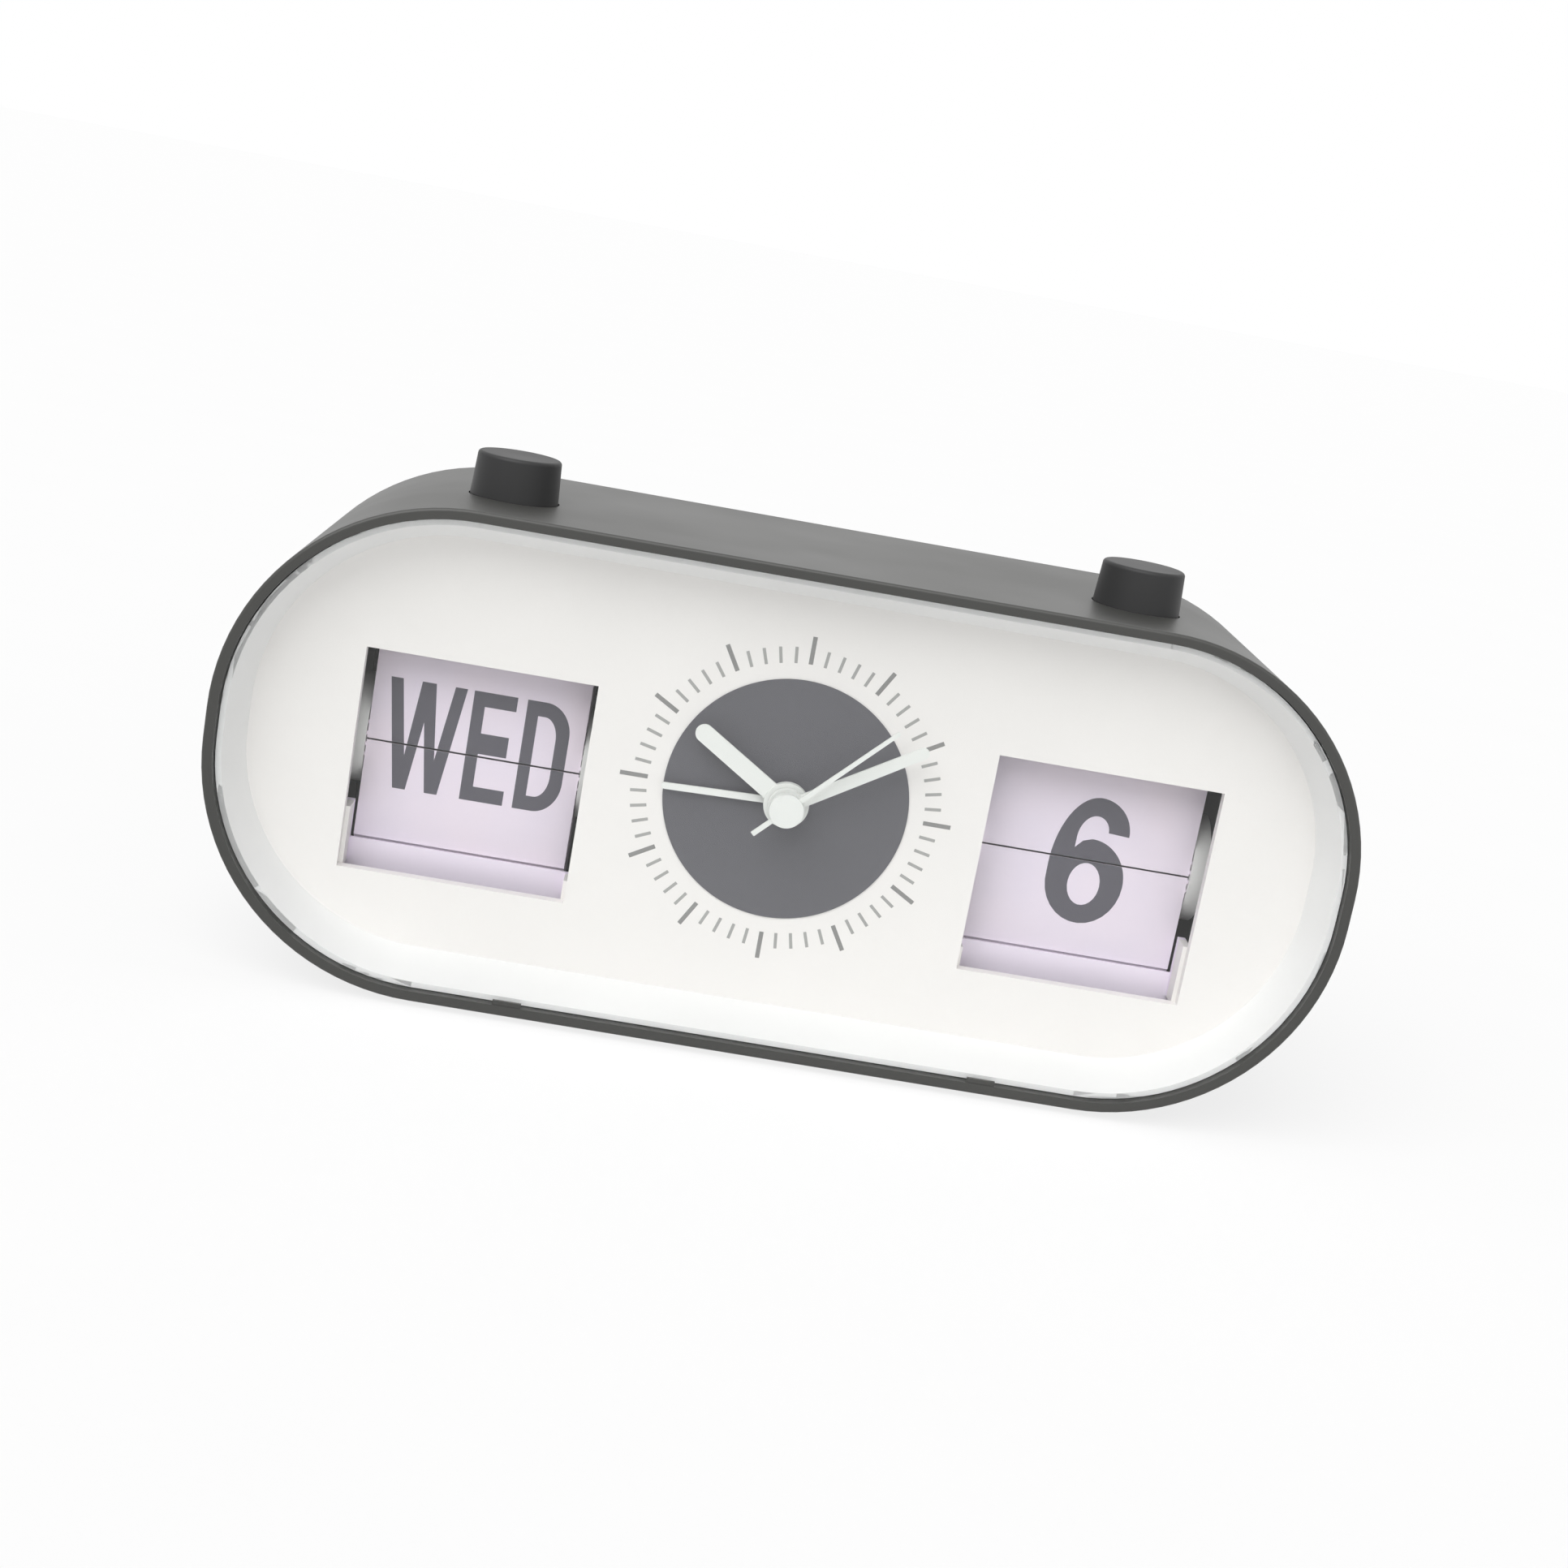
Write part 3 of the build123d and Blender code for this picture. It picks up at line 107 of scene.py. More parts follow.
def remap(tree, value, low, high, start=0.3, end=0.7):
    """Value moved from the range start to end, where noise mostly lies, to low to high."""
    node = tree.nodes.new("ShaderNodeMapRange")
    node.inputs["From Min"].default_value = start
    node.inputs["From Max"].default_value = end
    node.inputs["To Min"].default_value = low
    node.inputs["To Max"].default_value = high
    tree.links.new(value, node.inputs["Value"])
    return node.outputs["Result"]


def blend_colors(tree, share, first, second):
    """Colour between two, each a colour or a socket, by a share that is a socket."""
    node = tree.nodes.new("ShaderNodeMix")
    node.data_type = "RGBA"
    tree.links.new(share, node.inputs["Factor"])
    for socket, color in ((node.inputs["A"], first), (node.inputs["B"], second)):
        if isinstance(color, bpy.types.NodeSocket):
            tree.links.new(color, socket)
        else:
            socket.default_value = (*color, 1)
    return node.outputs["Result"]


def scaled(color, factor):
    """Colour made brighter or darker."""
    return tuple(min(1.0, channel * factor) for channel in color)


def bump(tree, shader, height, depth):
    """Surface relief from a height between 0 and 1, with its depth."""
    node = tree.nodes.new("ShaderNodeBump")
    node.inputs["Distance"].default_value = depth * MM
    tree.links.new(height, node.inputs["Height"])
    tree.links.new(node.outputs["Normal"], shader.inputs["Normal"])


def plastic(
    name, color, roughness, spread=0.05, grain=0.35, depth=0.004, cloud=14.0, tint=None, ior=1.46
):
    """Moulded plastic: fine mould grain, slow changes of tone, and a little uneven gloss.

    Spread is the share by which the tone changes. Grain and cloud are the sizes of
    the fine and the slow changes, and depth is the height of the grain.
    """
    made, tree, shader, place = new_material(name)
    slow = noise(tree, place, cloud, 2.0)
    fine = noise(tree, place, grain, 4.0)
    share = remap(tree, slow, 0, 1)
    darker = scaled(color, 1 - spread)
    lighter = tint or scaled(color, 1 + spread)
    base = blend_colors(tree, share, darker, lighter)
    speck = remap(tree, fine, 0, speck_share, 0.35, 0.75)
    base = blend_colors(tree, speck, base, darker)
    tree.links.new(base, shader.inputs["Base Color"])
    uneven = remap(tree, slow, roughness * smoother, roughness * rougher)
    tree.links.new(uneven, shader.inputs["Roughness"])
    shader.inputs["IOR"].default_value = ior
    bump(tree, shader, fine, depth)
    return made


def metal(name, color, roughness, stretch=(1, 1, 1), grain=0.3, depth=0.004):
    """Metal with fine lines along one direction, or with fine grain."""
    made, tree, shader, place = new_material(name)
    lines = noise(tree, place, grain, 3.0, stretch)
    darker = scaled(color, 0.86)
    lighter = scaled(color, 1.08)
    base = blend_colors(tree, remap(tree, lines, 0, 1), darker, lighter)
    tree.links.new(base, shader.inputs["Base Color"])
    shader.inputs["Metallic"].default_value = 1.0
    uneven = remap(tree, lines, roughness * 0.8, roughness * 1.25)
    tree.links.new(uneven, shader.inputs["Roughness"])
    bump(tree, shader, lines, depth)
    return made


def along(tree, place, axis):
    """One coordinate of the place on the object, in metres."""
    split = tree.nodes.new("ShaderNodeSeparateXYZ")
    tree.links.new(place, split.inputs["Vector"])
    return split.outputs[axis]


def between(tree, value, low_m, high_m):
    """1 where a value lies between two limits, and 0 elsewhere."""
    center = tree.nodes.new("ShaderNodeMath")
    center.operation = "COMPARE"
    tree.links.new(value, center.inputs[0])
    center.inputs[1].default_value = (low_m + high_m) / 2
    center.inputs[2].default_value = (high_m - low_m) / 2
    return center.outputs["Value"]


def clear_plastic(name):
    """Clear lens: see-through, with faint wipe marks and a gloss on its flat faces.

    The gloss grows where a face is seen at a slant. The edge has none.
    """
    least_gloss = 0.03
    most_gloss = 0.9
    slant_power = 5.0
    edge_normal = 0.6
    flat_normal = 0.8
    made = bpy.data.materials.new(name)
    made.use_nodes = True
    tree = made.node_tree
    tree.nodes.remove(tree.nodes["Principled BSDF"])
    coordinates = tree.nodes.new("ShaderNodeTexCoord")
    place = coordinates.outputs["Object"]
    through = tree.nodes.new("ShaderNodeBsdfTransparent")
    through.inputs["Color"].default_value = (0.985, 0.99, 0.988, 1)
    gloss = tree.nodes.new("ShaderNodeBsdfGlossy")
    marks = noise(tree, place, 9.0, 4.0, (3, 1, 1))
    tree.links.new(remap(tree, marks, 0.03, 0.09), gloss.inputs["Roughness"])
    slant = tree.nodes.new("ShaderNodeMath")
    slant.operation = "POWER"
    tree.links.new(tree.nodes.new("ShaderNodeLayerWeight").outputs["Facing"], slant.inputs[0])
    slant.inputs[1].default_value = slant_power
    flatness = tree.nodes.new("ShaderNodeMath")
    flatness.operation = "ABSOLUTE"
    tree.links.new(along(tree, coordinates.outputs["Normal"], "Y"), flatness.inputs[0])
    share = tree.nodes.new("ShaderNodeMath")
    share.operation = "MULTIPLY"
    flat = remap(tree, flatness.outputs["Value"], 0, 1, edge_normal, flat_normal)
    tree.links.new(flat, share.inputs[0])
    gloss_share = remap(tree, slant.outputs["Value"], least_gloss, most_gloss, 0, 1)
    tree.links.new(gloss_share, share.inputs[1])
    mix = tree.nodes.new("ShaderNodeMixShader")
    tree.links.new(share.outputs["Value"], mix.inputs["Fac"])
    tree.links.new(through.outputs["BSDF"], mix.inputs[1])
    tree.links.new(gloss.outputs["BSDF"], mix.inputs[2])
    tree.links.new(mix.outputs["Shader"], tree.nodes["Material Output"].inputs["Surface"])
    return made


def recolor_behind(made, depth_m, color):
    """Another colour for what lies farther back than a depth."""
    tree = made.node_tree
    socket = tree.nodes["Principled BSDF"].inputs["Base Color"]
    own = socket.links[0].from_socket
    place = tree.nodes["Texture Coordinate"].outputs["Object"]
    behind = tree.nodes.new("ShaderNodeMath")
    behind.operation = "GREATER_THAN"
    tree.links.new(along(tree, place, "Y"), behind.inputs[0])
    behind.inputs[1].default_value = depth_m
    tree.links.new(blend_colors(tree, behind.outputs["Value"], own, color), socket)


def circuit_board_green(name, front_m):
    """Green solder mask with a net of tracks. The black chip is all that lies in front of it."""
    track_pitch = 6
    far_ahead_m = 1
    made, tree, shader, place = new_material(name)
    mapping = tree.nodes.new("ShaderNodeMapping")
    mapping.inputs["Rotation"].default_value = (math.radians(90), 0, 0)
    tree.links.new(place, mapping.inputs["Vector"])
    bricks = tree.nodes.new("ShaderNodeTexBrick")
    bricks.inputs["Scale"].default_value = 1 / (track_pitch * MM)
    bricks.inputs["Mortar Size"].default_value = 0.035
    bricks.inputs["Mortar Smooth"].default_value = 0.2
    tree.links.new(mapping.outputs["Vector"], bricks.inputs["Vector"])
    tracks = bricks.outputs["Fac"]
    cloudy = remap(tree, noise(tree, place, 1.5), 0, 1)
    mask = blend_colors(tree, cloudy, (0.012, 0.10, 0.045), (0.016, 0.13, 0.06))
    mask = blend_colors(tree, tracks, mask, (0.05, 0.24, 0.10))
    chip = between(tree, along(tree, place, "Y"), front_m - far_ahead_m, front_m)
    base = blend_colors(tree, chip, mask, (0.012, 0.012, 0.012))
    tree.links.new(base, shader.inputs["Base Color"])
    shader.inputs["Roughness"].default_value = 0.35
    bump(tree, shader, tracks, 0.03)
    return made


def cell_sleeve(name, low_x_m, high_x_m):
    """Plain battery: a dark sleeve with a pale band, and bare metal at both ends."""
    band_start_m = low_x_m + 28 * MM
    band_end_m = high_x_m - 8 * MM
    sleeve_start_m = low_x_m + 1.2 * MM
    sleeve_end_m = high_x_m - 3.2 * MM
    made, tree, shader, place = new_material(name)
    x = along(tree, place, "X")
    grain = noise(tree, place, 0.6, 2.0, (6, 1, 1))
    streaks = remap(tree, grain, 0, 1)
    sleeve = blend_colors(tree, streaks, (0.030, 0.042, 0.055), (0.036, 0.050, 0.064))
    band = between(tree, x, band_start_m, band_end_m)
    sleeve = blend_colors(tree, band, sleeve, (0.50, 0.51, 0.50))
    covered = between(tree, x, sleeve_start_m, sleeve_end_m)
    base = blend_colors(tree, covered, (0.62, 0.61, 0.58), sleeve)
    tree.links.new(base, shader.inputs["Base Color"])
    tree.links.new(remap(tree, covered, 1, 0, 0, 1), shader.inputs["Metallic"])
    shader.inputs["Roughness"].default_value = 0.3
    bump(tree, shader, grain, 0.004)
    return made


def wound_copper(name, low_z_m, high_z_m, flange_m):
    """Enamelled copper winding between two pale flanges."""
    wire_pitch = 0.7
    made, tree, shader, place = new_material(name)
    z = along(tree, place, "Z")
    wave = tree.nodes.new("ShaderNodeTexWave")
    wave.bands_direction = "Z"
    wave.inputs["Scale"].default_value = 1 / (wire_pitch * MM)
    wave.inputs["Distortion"].default_value = 0.4
    tree.links.new(place, wave.inputs["Vector"])
    wire = blend_colors(tree, wave.outputs["Fac"], (0.22, 0.06, 0.02), (0.62, 0.24, 0.09))
    winding = between(tree, z, low_z_m + flange_m, high_z_m - flange_m)
    base = blend_colors(tree, winding, (0.72, 0.68, 0.56), wire)
    tree.links.new(base, shader.inputs["Base Color"])
    tree.links.new(remap(tree, winding, 0, 0.8, 0, 1), shader.inputs["Metallic"])
    shader.inputs["Roughness"].default_value = 0.35
    bump(tree, shader, wave.outputs["Fac"], 0.05)
    return made


# Colours, as linear red, green and blue
case_grey = (0.040, 0.040, 0.037)
button_black = (0.025, 0.025, 0.0255)
white = (0.88, 0.852, 0.834)
neutral_white = (0.872, 0.868, 0.866)
disc_grey = (0.113, 0.111, 0.124)
lilac = (0.83, 0.752, 0.862)
pink_lilac = (0.862, 0.762, 0.848)
ink = (0.100, 0.095, 0.115)
long_tick_grey = (0.26, 0.255, 0.25)
short_tick_grey = (0.38, 0.375, 0.365)
hand_white = (0.83, 0.84, 0.815)
drum_white = (0.82, 0.815, 0.80)
frame_black = (0.045, 0.045, 0.047)
gear_ivory = (0.78, 0.765, 0.70)
gear_red = (0.42, 0.05, 0.035)
gear_blue = (0.06, 0.14, 0.34)
rubber_black = (0.018, 0.018, 0.018)
ferrite_grey = (0.05, 0.05, 0.055)
buzzer_black = (0.02, 0.02, 0.02)
steel_grey = (0.58, 0.58, 0.57)
zinc_grey = (0.62, 0.61, 0.58)
sheet_grey = (0.50, 0.50, 0.49)
wire_grey = (0.54, 0.54, 0.53)
nickel_grey = (0.66, 0.64, 0.60)

# The number after each colour is the roughness
case_material = plastic(
    "case_moulding", case_grey, 0.42, grain=0.3, depth=0.006, cloud=30.0, ior=1.5
)
cover_material = plastic(
    "cover_moulding", scaled(case_grey, 0.85), 0.5, spread=0.06, grain=0.3, depth=0.02
)
button_material = plastic("button_moulding", button_black, 0.5, spread=0.08, grain=0.25, ior=1.38)
bezel_material = plastic(
    "bezel_moulding", neutral_white, 0.38, spread=0.012, grain=0.5, depth=0.002, cloud=30.0
)
dial_material = plastic(
    "dial_moulding", white, 0.42, spread=0.012, grain=0.4, depth=0.002, cloud=30.0
)
disc_material = plastic("dial_disc_print", disc_grey, 0.6, spread=0.02, grain=0.25, depth=0.0003)
flap_material = plastic(
    "flap_sheet", lilac, 0.45, spread=0.02, grain=0.3, depth=0.001, cloud=16.0, tint=pink_lilac
)
ink_material = plastic("flap_print", ink, 0.5, spread=0.03, grain=0.2, depth=0.001)
long_tick_material = plastic(
    "long_tick_print", long_tick_grey, 0.5, spread=0.04, grain=0.2, depth=0.001
)
short_tick_material = plastic(
    "short_tick_print", short_tick_grey, 0.5, spread=0.04, grain=0.2, depth=0.001
)
hand_material = plastic("hand_lacquer", hand_white, 0.32, spread=0.01, grain=0.5, depth=0.001)
drum_material = plastic("drum_moulding", drum_white, 0.4, spread=0.02, grain=0.3, depth=0.003)
frame_material = plastic("frame_moulding", frame_black, 0.45, spread=0.08, grain=0.3, depth=0.01)
ivory_material = plastic("gear_moulding", gear_ivory, 0.33, spread=0.02, grain=0.4, cloud=4.0)
red_material = plastic("gear_red", gear_red, 0.33, grain=0.4, cloud=4.0)
blue_material = plastic("gear_blue", gear_blue, 0.33, grain=0.4, cloud=4.0)
rubber_material = plastic("foot_rubber", rubber_black, 0.75, spread=0.1, grain=0.2, depth=0.03)
magnet_material = plastic("ferrite", ferrite_grey, 0.5, spread=0.15, grain=0.2, depth=0.01)
buzzer_material = plastic("buzzer_moulding", buzzer_black, 0.5, spread=0.1, grain=0.3, depth=0.02)
steel_material = metal("turned_steel", steel_grey, 0.3, (8, 1, 1))
screw_material = metal("screw_zinc", zinc_grey, 0.32, (1, 6, 1))
sheet_material = metal("sheet_steel", sheet_grey, 0.35, (1, 1, 8))
wire_material = metal("spring_wire_steel", wire_grey, 0.26, (1, 1, 3), grain=0.4)
nickel_material = metal("nickel_plate", nickel_grey, 0.22, (1, 4, 1))
lens_material = clear_plastic("lens_acrylic")

# The lip behind each window's lower edge is coloured like the cards above it, and is painted
# lighter than them as painted light against the shade it lies in
window_lip_depth = 6.0
# Painted light: the cards' lilac made lighter, to offset the shade on the lip
lip_lilac_painted_lighter = scaled(lilac, 1.16)
low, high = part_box("dial_plate")
recolor_behind(dial_material, low.y + window_lip_depth * MM, lip_lilac_painted_lighter)

board_thickness = 1.0
board_margin = 0.05
low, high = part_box("circuit_board")
board_material = circuit_board_green(
    "solder_mask", high.y - (board_thickness + board_margin) * MM
)
low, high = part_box("battery")
cell_material = cell_sleeve("cell_sleeve", low.x, high.x)
coil_flange = 0.6
low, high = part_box("motor_coil")
coil_material = wound_copper("copper_winding", low.z, high.z, coil_flange * MM)

looks = {
    "case_shell": case_material,
    "rear_cover": cover_material,
    "battery_door": cover_material,
    "front_lens": lens_material,
    "front_bezel": bezel_material,
    "dial_plate": dial_material,
    "dial_center_disc": disc_material,
    "dial_screws": screw_material,
    "cover_screws": screw_material,
    "rubber_feet": rubber_material,
    "battery": cell_material,
    "battery_contacts": nickel_material,
    "buzzer": buzzer_material,
    "alarm_switch_slider": button_material,
    "time_set_knob": button_material,
    "alarm_set_knob": button_material,
    "detent_springs": sheet_material,
    "movement_front_plate": frame_material,
    "movement_housing": frame_material,
    "circuit_board": board_material,
    "quartz_crystal": nickel_material,
    "motor_stator": sheet_material,
    "motor_coil": coil_material,
    "motor_rotor": magnet_material,
    "intermediate_wheel": red_material,
    "second_wheel": ivory_material,
    "third_wheel": blue_material,
    "centre_wheel": ivory_material,
    "cannon_pinion": red_material,
    "minute_wheel": ivory_material,
    "hour_wheel": blue_material,
    "alarm_wheel": ivory_material,
    "time_set_arbor": ivory_material,
    "alarm_set_arbor": ivory_material,
    "hour_hand": hand_material,
    "minute_hand": hand_material,
    "second_hand": hand_material,
    "alarm_hand": hand_material,
}
unit_looks = {
    "flip_frame": frame_material,
    "drum": drum_material,
    "ratchet_wheel": ivory_material,
    "drum_axle": steel_material,
    "flap_stack": flap_material,
    "flap_upper": flap_material,
    "flap_lower": flap_material,
    "button": button_material,
    "plunger": ivory_material,
    "return_spring": wire_material,
}
units = ("day", "date")
for unit in units:
    looks.update({f"{unit}_{part}": look for part, look in unit_looks.items()})
for name, look in looks.items():
    mesh = nodes[name].data
    mesh.materials.clear()
    mesh.materials.append(look)


# Return springs

spring_wire = 0.9
spring_turns = 7.5
closed_turns = 0.9
steps_a_turn = 36
wire_sides = 12


def coil_height_m(turns, rise_m):
    """Height of the wire above its start. The turns at both ends lie on each other."""
    closed_m = closed_turns * spring_wire * MM
    if turns < closed_turns:
        return turns * spring_wire * MM
    if turns > spring_turns - closed_turns:
        return rise_m - (spring_turns - turns) * spring_wire * MM
    open_turns = spring_turns - 2 * closed_turns
    return closed_m + (turns - closed_turns) / open_turns * (rise_m - 2 * closed_m)


def coil_mesh(name, foot_m, coil_radius_m, rise_m):
    """Closed mesh of a wire wound upward from the height of a foot point, round its axis."""
    upward = Vector((0, 0, 1))
    wire_radius_m = spring_wire / 2 * MM
    coil = bmesh.new()
    rings = []
    for step in range(round(spring_turns * steps_a_turn) + 1):
        turns = step / steps_a_turn
        angle = math.tau * turns
        outward = Vector((math.cos(angle), math.sin(angle), 0))
        middle_m = foot_m + coil_height_m(turns, rise_m) * upward + coil_radius_m * outward
        ring = []
        for side in range(wire_sides):
            around = math.tau * side / wire_sides
            offset = math.cos(around) * outward + math.sin(around) * upward
            ring.append(coil.verts.new(middle_m + wire_radius_m * offset))
        rings.append(ring)
    for lower, upper in zip(rings, rings[1:]):
        for side in range(wire_sides):
            following = (side + 1) % wire_sides
            face = coil.faces.new((lower[side], lower[following], upper[following], upper[side]))
            face.smooth = True
    coil.faces.new(rings[0][::-1])
    coil.faces.new(rings[-1])
    bmesh.ops.recalc_face_normals(coil, faces=coil.faces[:])
    mesh = bpy.data.meshes.new(name)
    coil.to_mesh(mesh)
    coil.free()
    return mesh


def wound_spring(unit):
    """Wire coil in place of a return spring's plain sleeve."""
    node = f"{unit}_return_spring"
    name = f"{unit}_spring_coil"
    low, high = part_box(node)
    center = (low + high) / 2
    wire_radius_m = spring_wire / 2 * MM
    coil_radius_m = (high.x - low.x) / 2 - wire_radius_m
    foot_m = Vector((center.x, center.y, low.z + wire_radius_m))
    mesh = coil_mesh(name, foot_m, coil_radius_m, high.z - low.z - 2 * wire_radius_m)
    mesh.materials.append(wire_material)
    made = bpy.data.objects.new(name, mesh)
    bpy.context.scene.collection.objects.link(made)
    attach(made, "case")
    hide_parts(node)
    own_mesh(made)


for unit in units:
    wound_spring(unit)


# Printed marks

print_thickness = 0.015
flap_thickness = 0.16
hinge_line_gap = 0.3


def flat_shape(name, outlines, look, body, place, low_z=None, high_z=None):
    """Thin printed shape from outlines in X and Z, cut to a height range, moved by a matrix.

    An outline inside another one is a hole. The ink lies in front of the y = 0 plane.
    """
    loops = [[Vector((x * MM, 0, z * MM)) for x, z in outline] for outline in outlines]
    corners = [corner for loop in loops for corner in loop]
    sheet = bmesh.new()
    points = [sheet.verts.new(corner) for corner in corners]
    flat_loops = [[Vector((corner.x, corner.z, 0)) for corner in loop] for loop in loops]
    for triangle in tessellate_polygon(flat_loops):
        sheet.faces.new([points[index] for index in triangle])
    for height, keeps in ((low_z, "clear_inner"), (high_z, "clear_outer")):
        if height is not None:
            bmesh.ops.bisect_plane(
                sheet,
                geom=sheet.verts[:] + sheet.edges[:] + sheet.faces[:],
                plane_co=(0, 0, height * MM),
                plane_no=(0, 0, 1),
                **{keeps: True},
            )
    bmesh.ops.dissolve_limit(sheet, angle_limit=0.001, verts=sheet.verts[:], edges=sheet.edges[:])
    bmesh.ops.recalc_face_normals(sheet, faces=sheet.faces[:])
    for face in sheet.faces:
        if face.normal.y > 0:
            face.normal_flip()
    mesh = bpy.data.meshes.new(name)
    sheet.to_mesh(mesh)
    sheet.free()
    made = bpy.data.objects.new(name, mesh)
    bpy.context.scene.collection.objects.link(made)
    thicken = made.modifiers.new("ink", "SOLIDIFY")
    thicken.thickness = print_thickness * MM
    thicken.offset = 1.0
    mesh.materials.append(look)
    made.matrix_world = place
    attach(made, body)
    return made


def arc(center, radii, start, end, steps=14):
    """Points on an ellipse between two angles in degrees."""
    points = []
    for step in range(steps + 1):
        angle = math.radians(start + (end - start) * step / steps)
        x = center[0] + radii[0] * math.cos(angle)
        z = center[1] + radii[1] * math.sin(angle)
        points.append((x, z))
    return points


# Capitals stand on z = 0 and are cap_height tall. Stems are stem wide and bars bar thick.
cap_height = 18.1
stem = 1.95
bar = 2.4


def letter_w():
    """W with a full-height middle."""
    width = 12.3
    slant = 2.55
    half = stem / 2 + 0.05
    middle = width / 2
    foot = slant + half
    notch = 6.6
    crotch = 5.6
    crotch_taper = 0.15
    peak_taper = 0.1
    return width, [[
        (0, cap_height),
        (slant, 0),
        (slant + 2 * half, 0),
        (middle, cap_height - notch),
        (width - slant - 2 * half, 0),
        (width - slant, 0),
        (width, cap_height),
        (width - stem, cap_height),
        (width - foot - crotch_taper, crotch),
        (middle + half + peak_taper, cap_height),
        (middle - half - peak_taper, cap_height),
        (foot + crotch_taper, crotch),
        (stem, cap_height),
    ]]


def letter_e():
    """E with a heavy middle bar."""
    width = 7.0
    middle_width = width - 0.5
    low = 7.9
    high = 11.3
    return width, [[
        (0, 0), (width, 0), (width, bar), (stem, bar), (stem, low), (middle_width, low),
        (middle_width, high), (stem, high), (stem, cap_height - bar), (width, cap_height - bar),
        (width, cap_height), (0, cap_height),
    ]]


def letter_d():
    """D with a long straight side."""
    width = 7.4
    outer_radii = (4.3, 5.2)
    inner_radii = (2.2, 3.6)
    x = width - outer_radii[0]
    outer = [(0, 0)]
    outer += arc((x, outer_radii[1]), outer_radii, -90, 0)
    outer += arc((x, cap_height - outer_radii[1]), outer_radii, 0, 90)
    outer += [(0, cap_height)]
    inside = [(stem, bar)]
    inside += arc((x, bar + inner_radii[1]), inner_radii, -90, 0)
    inside += arc((x, cap_height - bar - inner_radii[1]), inner_radii, 0, 90)
    inside += [(stem, cap_height - bar)]
    return width, [outer, inside]


def letter_t():
    """T with its stem in the middle."""
    width = 7.8
    left = (width - stem) / 2
    return width, [[
        (left, 0), (left + stem, 0), (left + stem, cap_height - bar), (width, cap_height - bar),
        (width, cap_height), (0, cap_height), (0, cap_height - bar), (left, cap_height - bar),
    ]]


def letter_h():
    """H with its bar a little below the middle."""
    width = 7.8
    low = 7.9
    high = low + bar
    return width, [[
        (0, 0), (stem, 0), (stem, low), (width - stem, low), (width - stem, 0), (width, 0),
        (width, cap_height), (width - stem, cap_height), (width - stem, high), (stem, high),
        (stem, cap_height), (0, cap_height),
    ]]


def letter_u():
    """U with a round bend."""
    width = 7.8
    middle = width / 2
    bend = 4.6
    outer = [(0, cap_height)] + arc((middle, bend), (middle, bend), 180, 360)
    outer += [(width, cap_height), (width - stem, cap_height)]
    inside = arc((middle, bend), (middle - stem, bend - bar), 0, -180)
    return width, [outer + inside + [(stem, cap_height)]]


def digit_six():
    """6 with a round bowl and a curved top. Each named curve is a centre and two radii."""
    width = 12.8
    top = ((6.6, 15.6), (5.6, 5.8))
    back = ((6.6, 9.2), (6.6, 12.2))
    bowl = ((6.4, 7.2), (6.4, 7.2))
    shoulder = [(4.9, 13.9), (3.75, 12.6)]
    throat = ((6.5, 14.2), (2.75, 4.1))
    tip = ((6.5, 15.8), (2.25, 2.5))
    eye = ((6.4, 6.7), (2.65, 3.6))
    outer = arc(*top, 0, 90) + arc(*back, 92, 180)
    outer += arc(*bowl, 186, 360) + arc(*bowl, 0, 90)
    outer += shoulder
    outer += arc(*throat, 172, 90) + arc(*tip, 90, 0)
    return width, [outer, arc(*eye, 0, 352, steps=24)]


def digit_seven():
    """7 with a straight leg."""
    width = 12.4
    height = 21.4
    top_bar = 3.3
    inner_corner = 8.6
    foot_left = 2.6
    foot_right = 6.4
    shoulder = 2.6
    return width, [[
        (0, height), (0, height - top_bar), (inner_corner, height - top_bar), (foot_left, 0),
        (foot_right, 0), (width, height - shoulder), (width, height),
    ]]


def set_words(letters, gaps, center_x, bottom):
    """Outlines of letters in a row, with the gaps between them, centred on an X."""
    total = sum(width for width, _ in letters) + sum(gaps)
    left = center_x - total / 2
    placed = []
    for number, (width, outlines) in enumerate(letters):
        placed.append([[(left + x, bottom + z) for x, z in outline] for outline in outlines])
        left += width + (gaps[number] if number < len(gaps) else 0)
    return placed


def show_card(unit, label, letters, gaps, center_x, bottom, upcoming):
    """Print a card on its two flaps.

    The flaps in the window show the present card. An upcoming card goes on the
    next flap of the drum and on the back of the flap that falls.
    """
    drum = joints[f"{unit}_drum_turn"]
    fall = joints[f"{unit}_flap_fall"]
    hinge_m = drum["pos_m"][2]
    upper_low = hinge_m / MM + hinge_line_gap / 2
    lower_high = hinge_m / MM - hinge_line_gap / 2
    front = Matrix.Translation((0, fall["pos_m"][1] - flap_thickness / 2 * MM, 0))
    upper_body = f"{unit}_flap_upper"
    upper_place = front
    lower_body = f"{unit}_flap_lower"
    lower_place = front
    if upcoming:
        # The whole range of the drum's joint is one card
        pitch = math.radians(round(drum["range_deg"][1], 2))
        axis = Matrix.Translation(drum["pos_m"])
        upper_body = f"{unit}_drum"
        upper_place = axis @ Matrix.Rotation(-pitch, 4, "X") @ axis.inverted() @ front
        pin_m = Vector((0, fall["pos_m"][1], hinge_m))
        half_turn = Matrix.Rotation(math.pi, 4, "X")
        lower_body = f"{unit}_flap_upper"
        lower_place = Matrix.Translation(pin_m) @ half_turn @ Matrix.Translation(-pin_m) @ front
    for number, outlines in enumerate(set_words(letters, gaps, center_x, bottom)):
        name = f"{unit}_{label}_{number}"
        flat_shape(
            f"{name}_upper", outlines, ink_material, upper_body, upper_place, low_z=upper_low
        )
        flat_shape(
            f"{name}_lower", outlines, ink_material, lower_body, lower_place, high_z=lower_high
        )


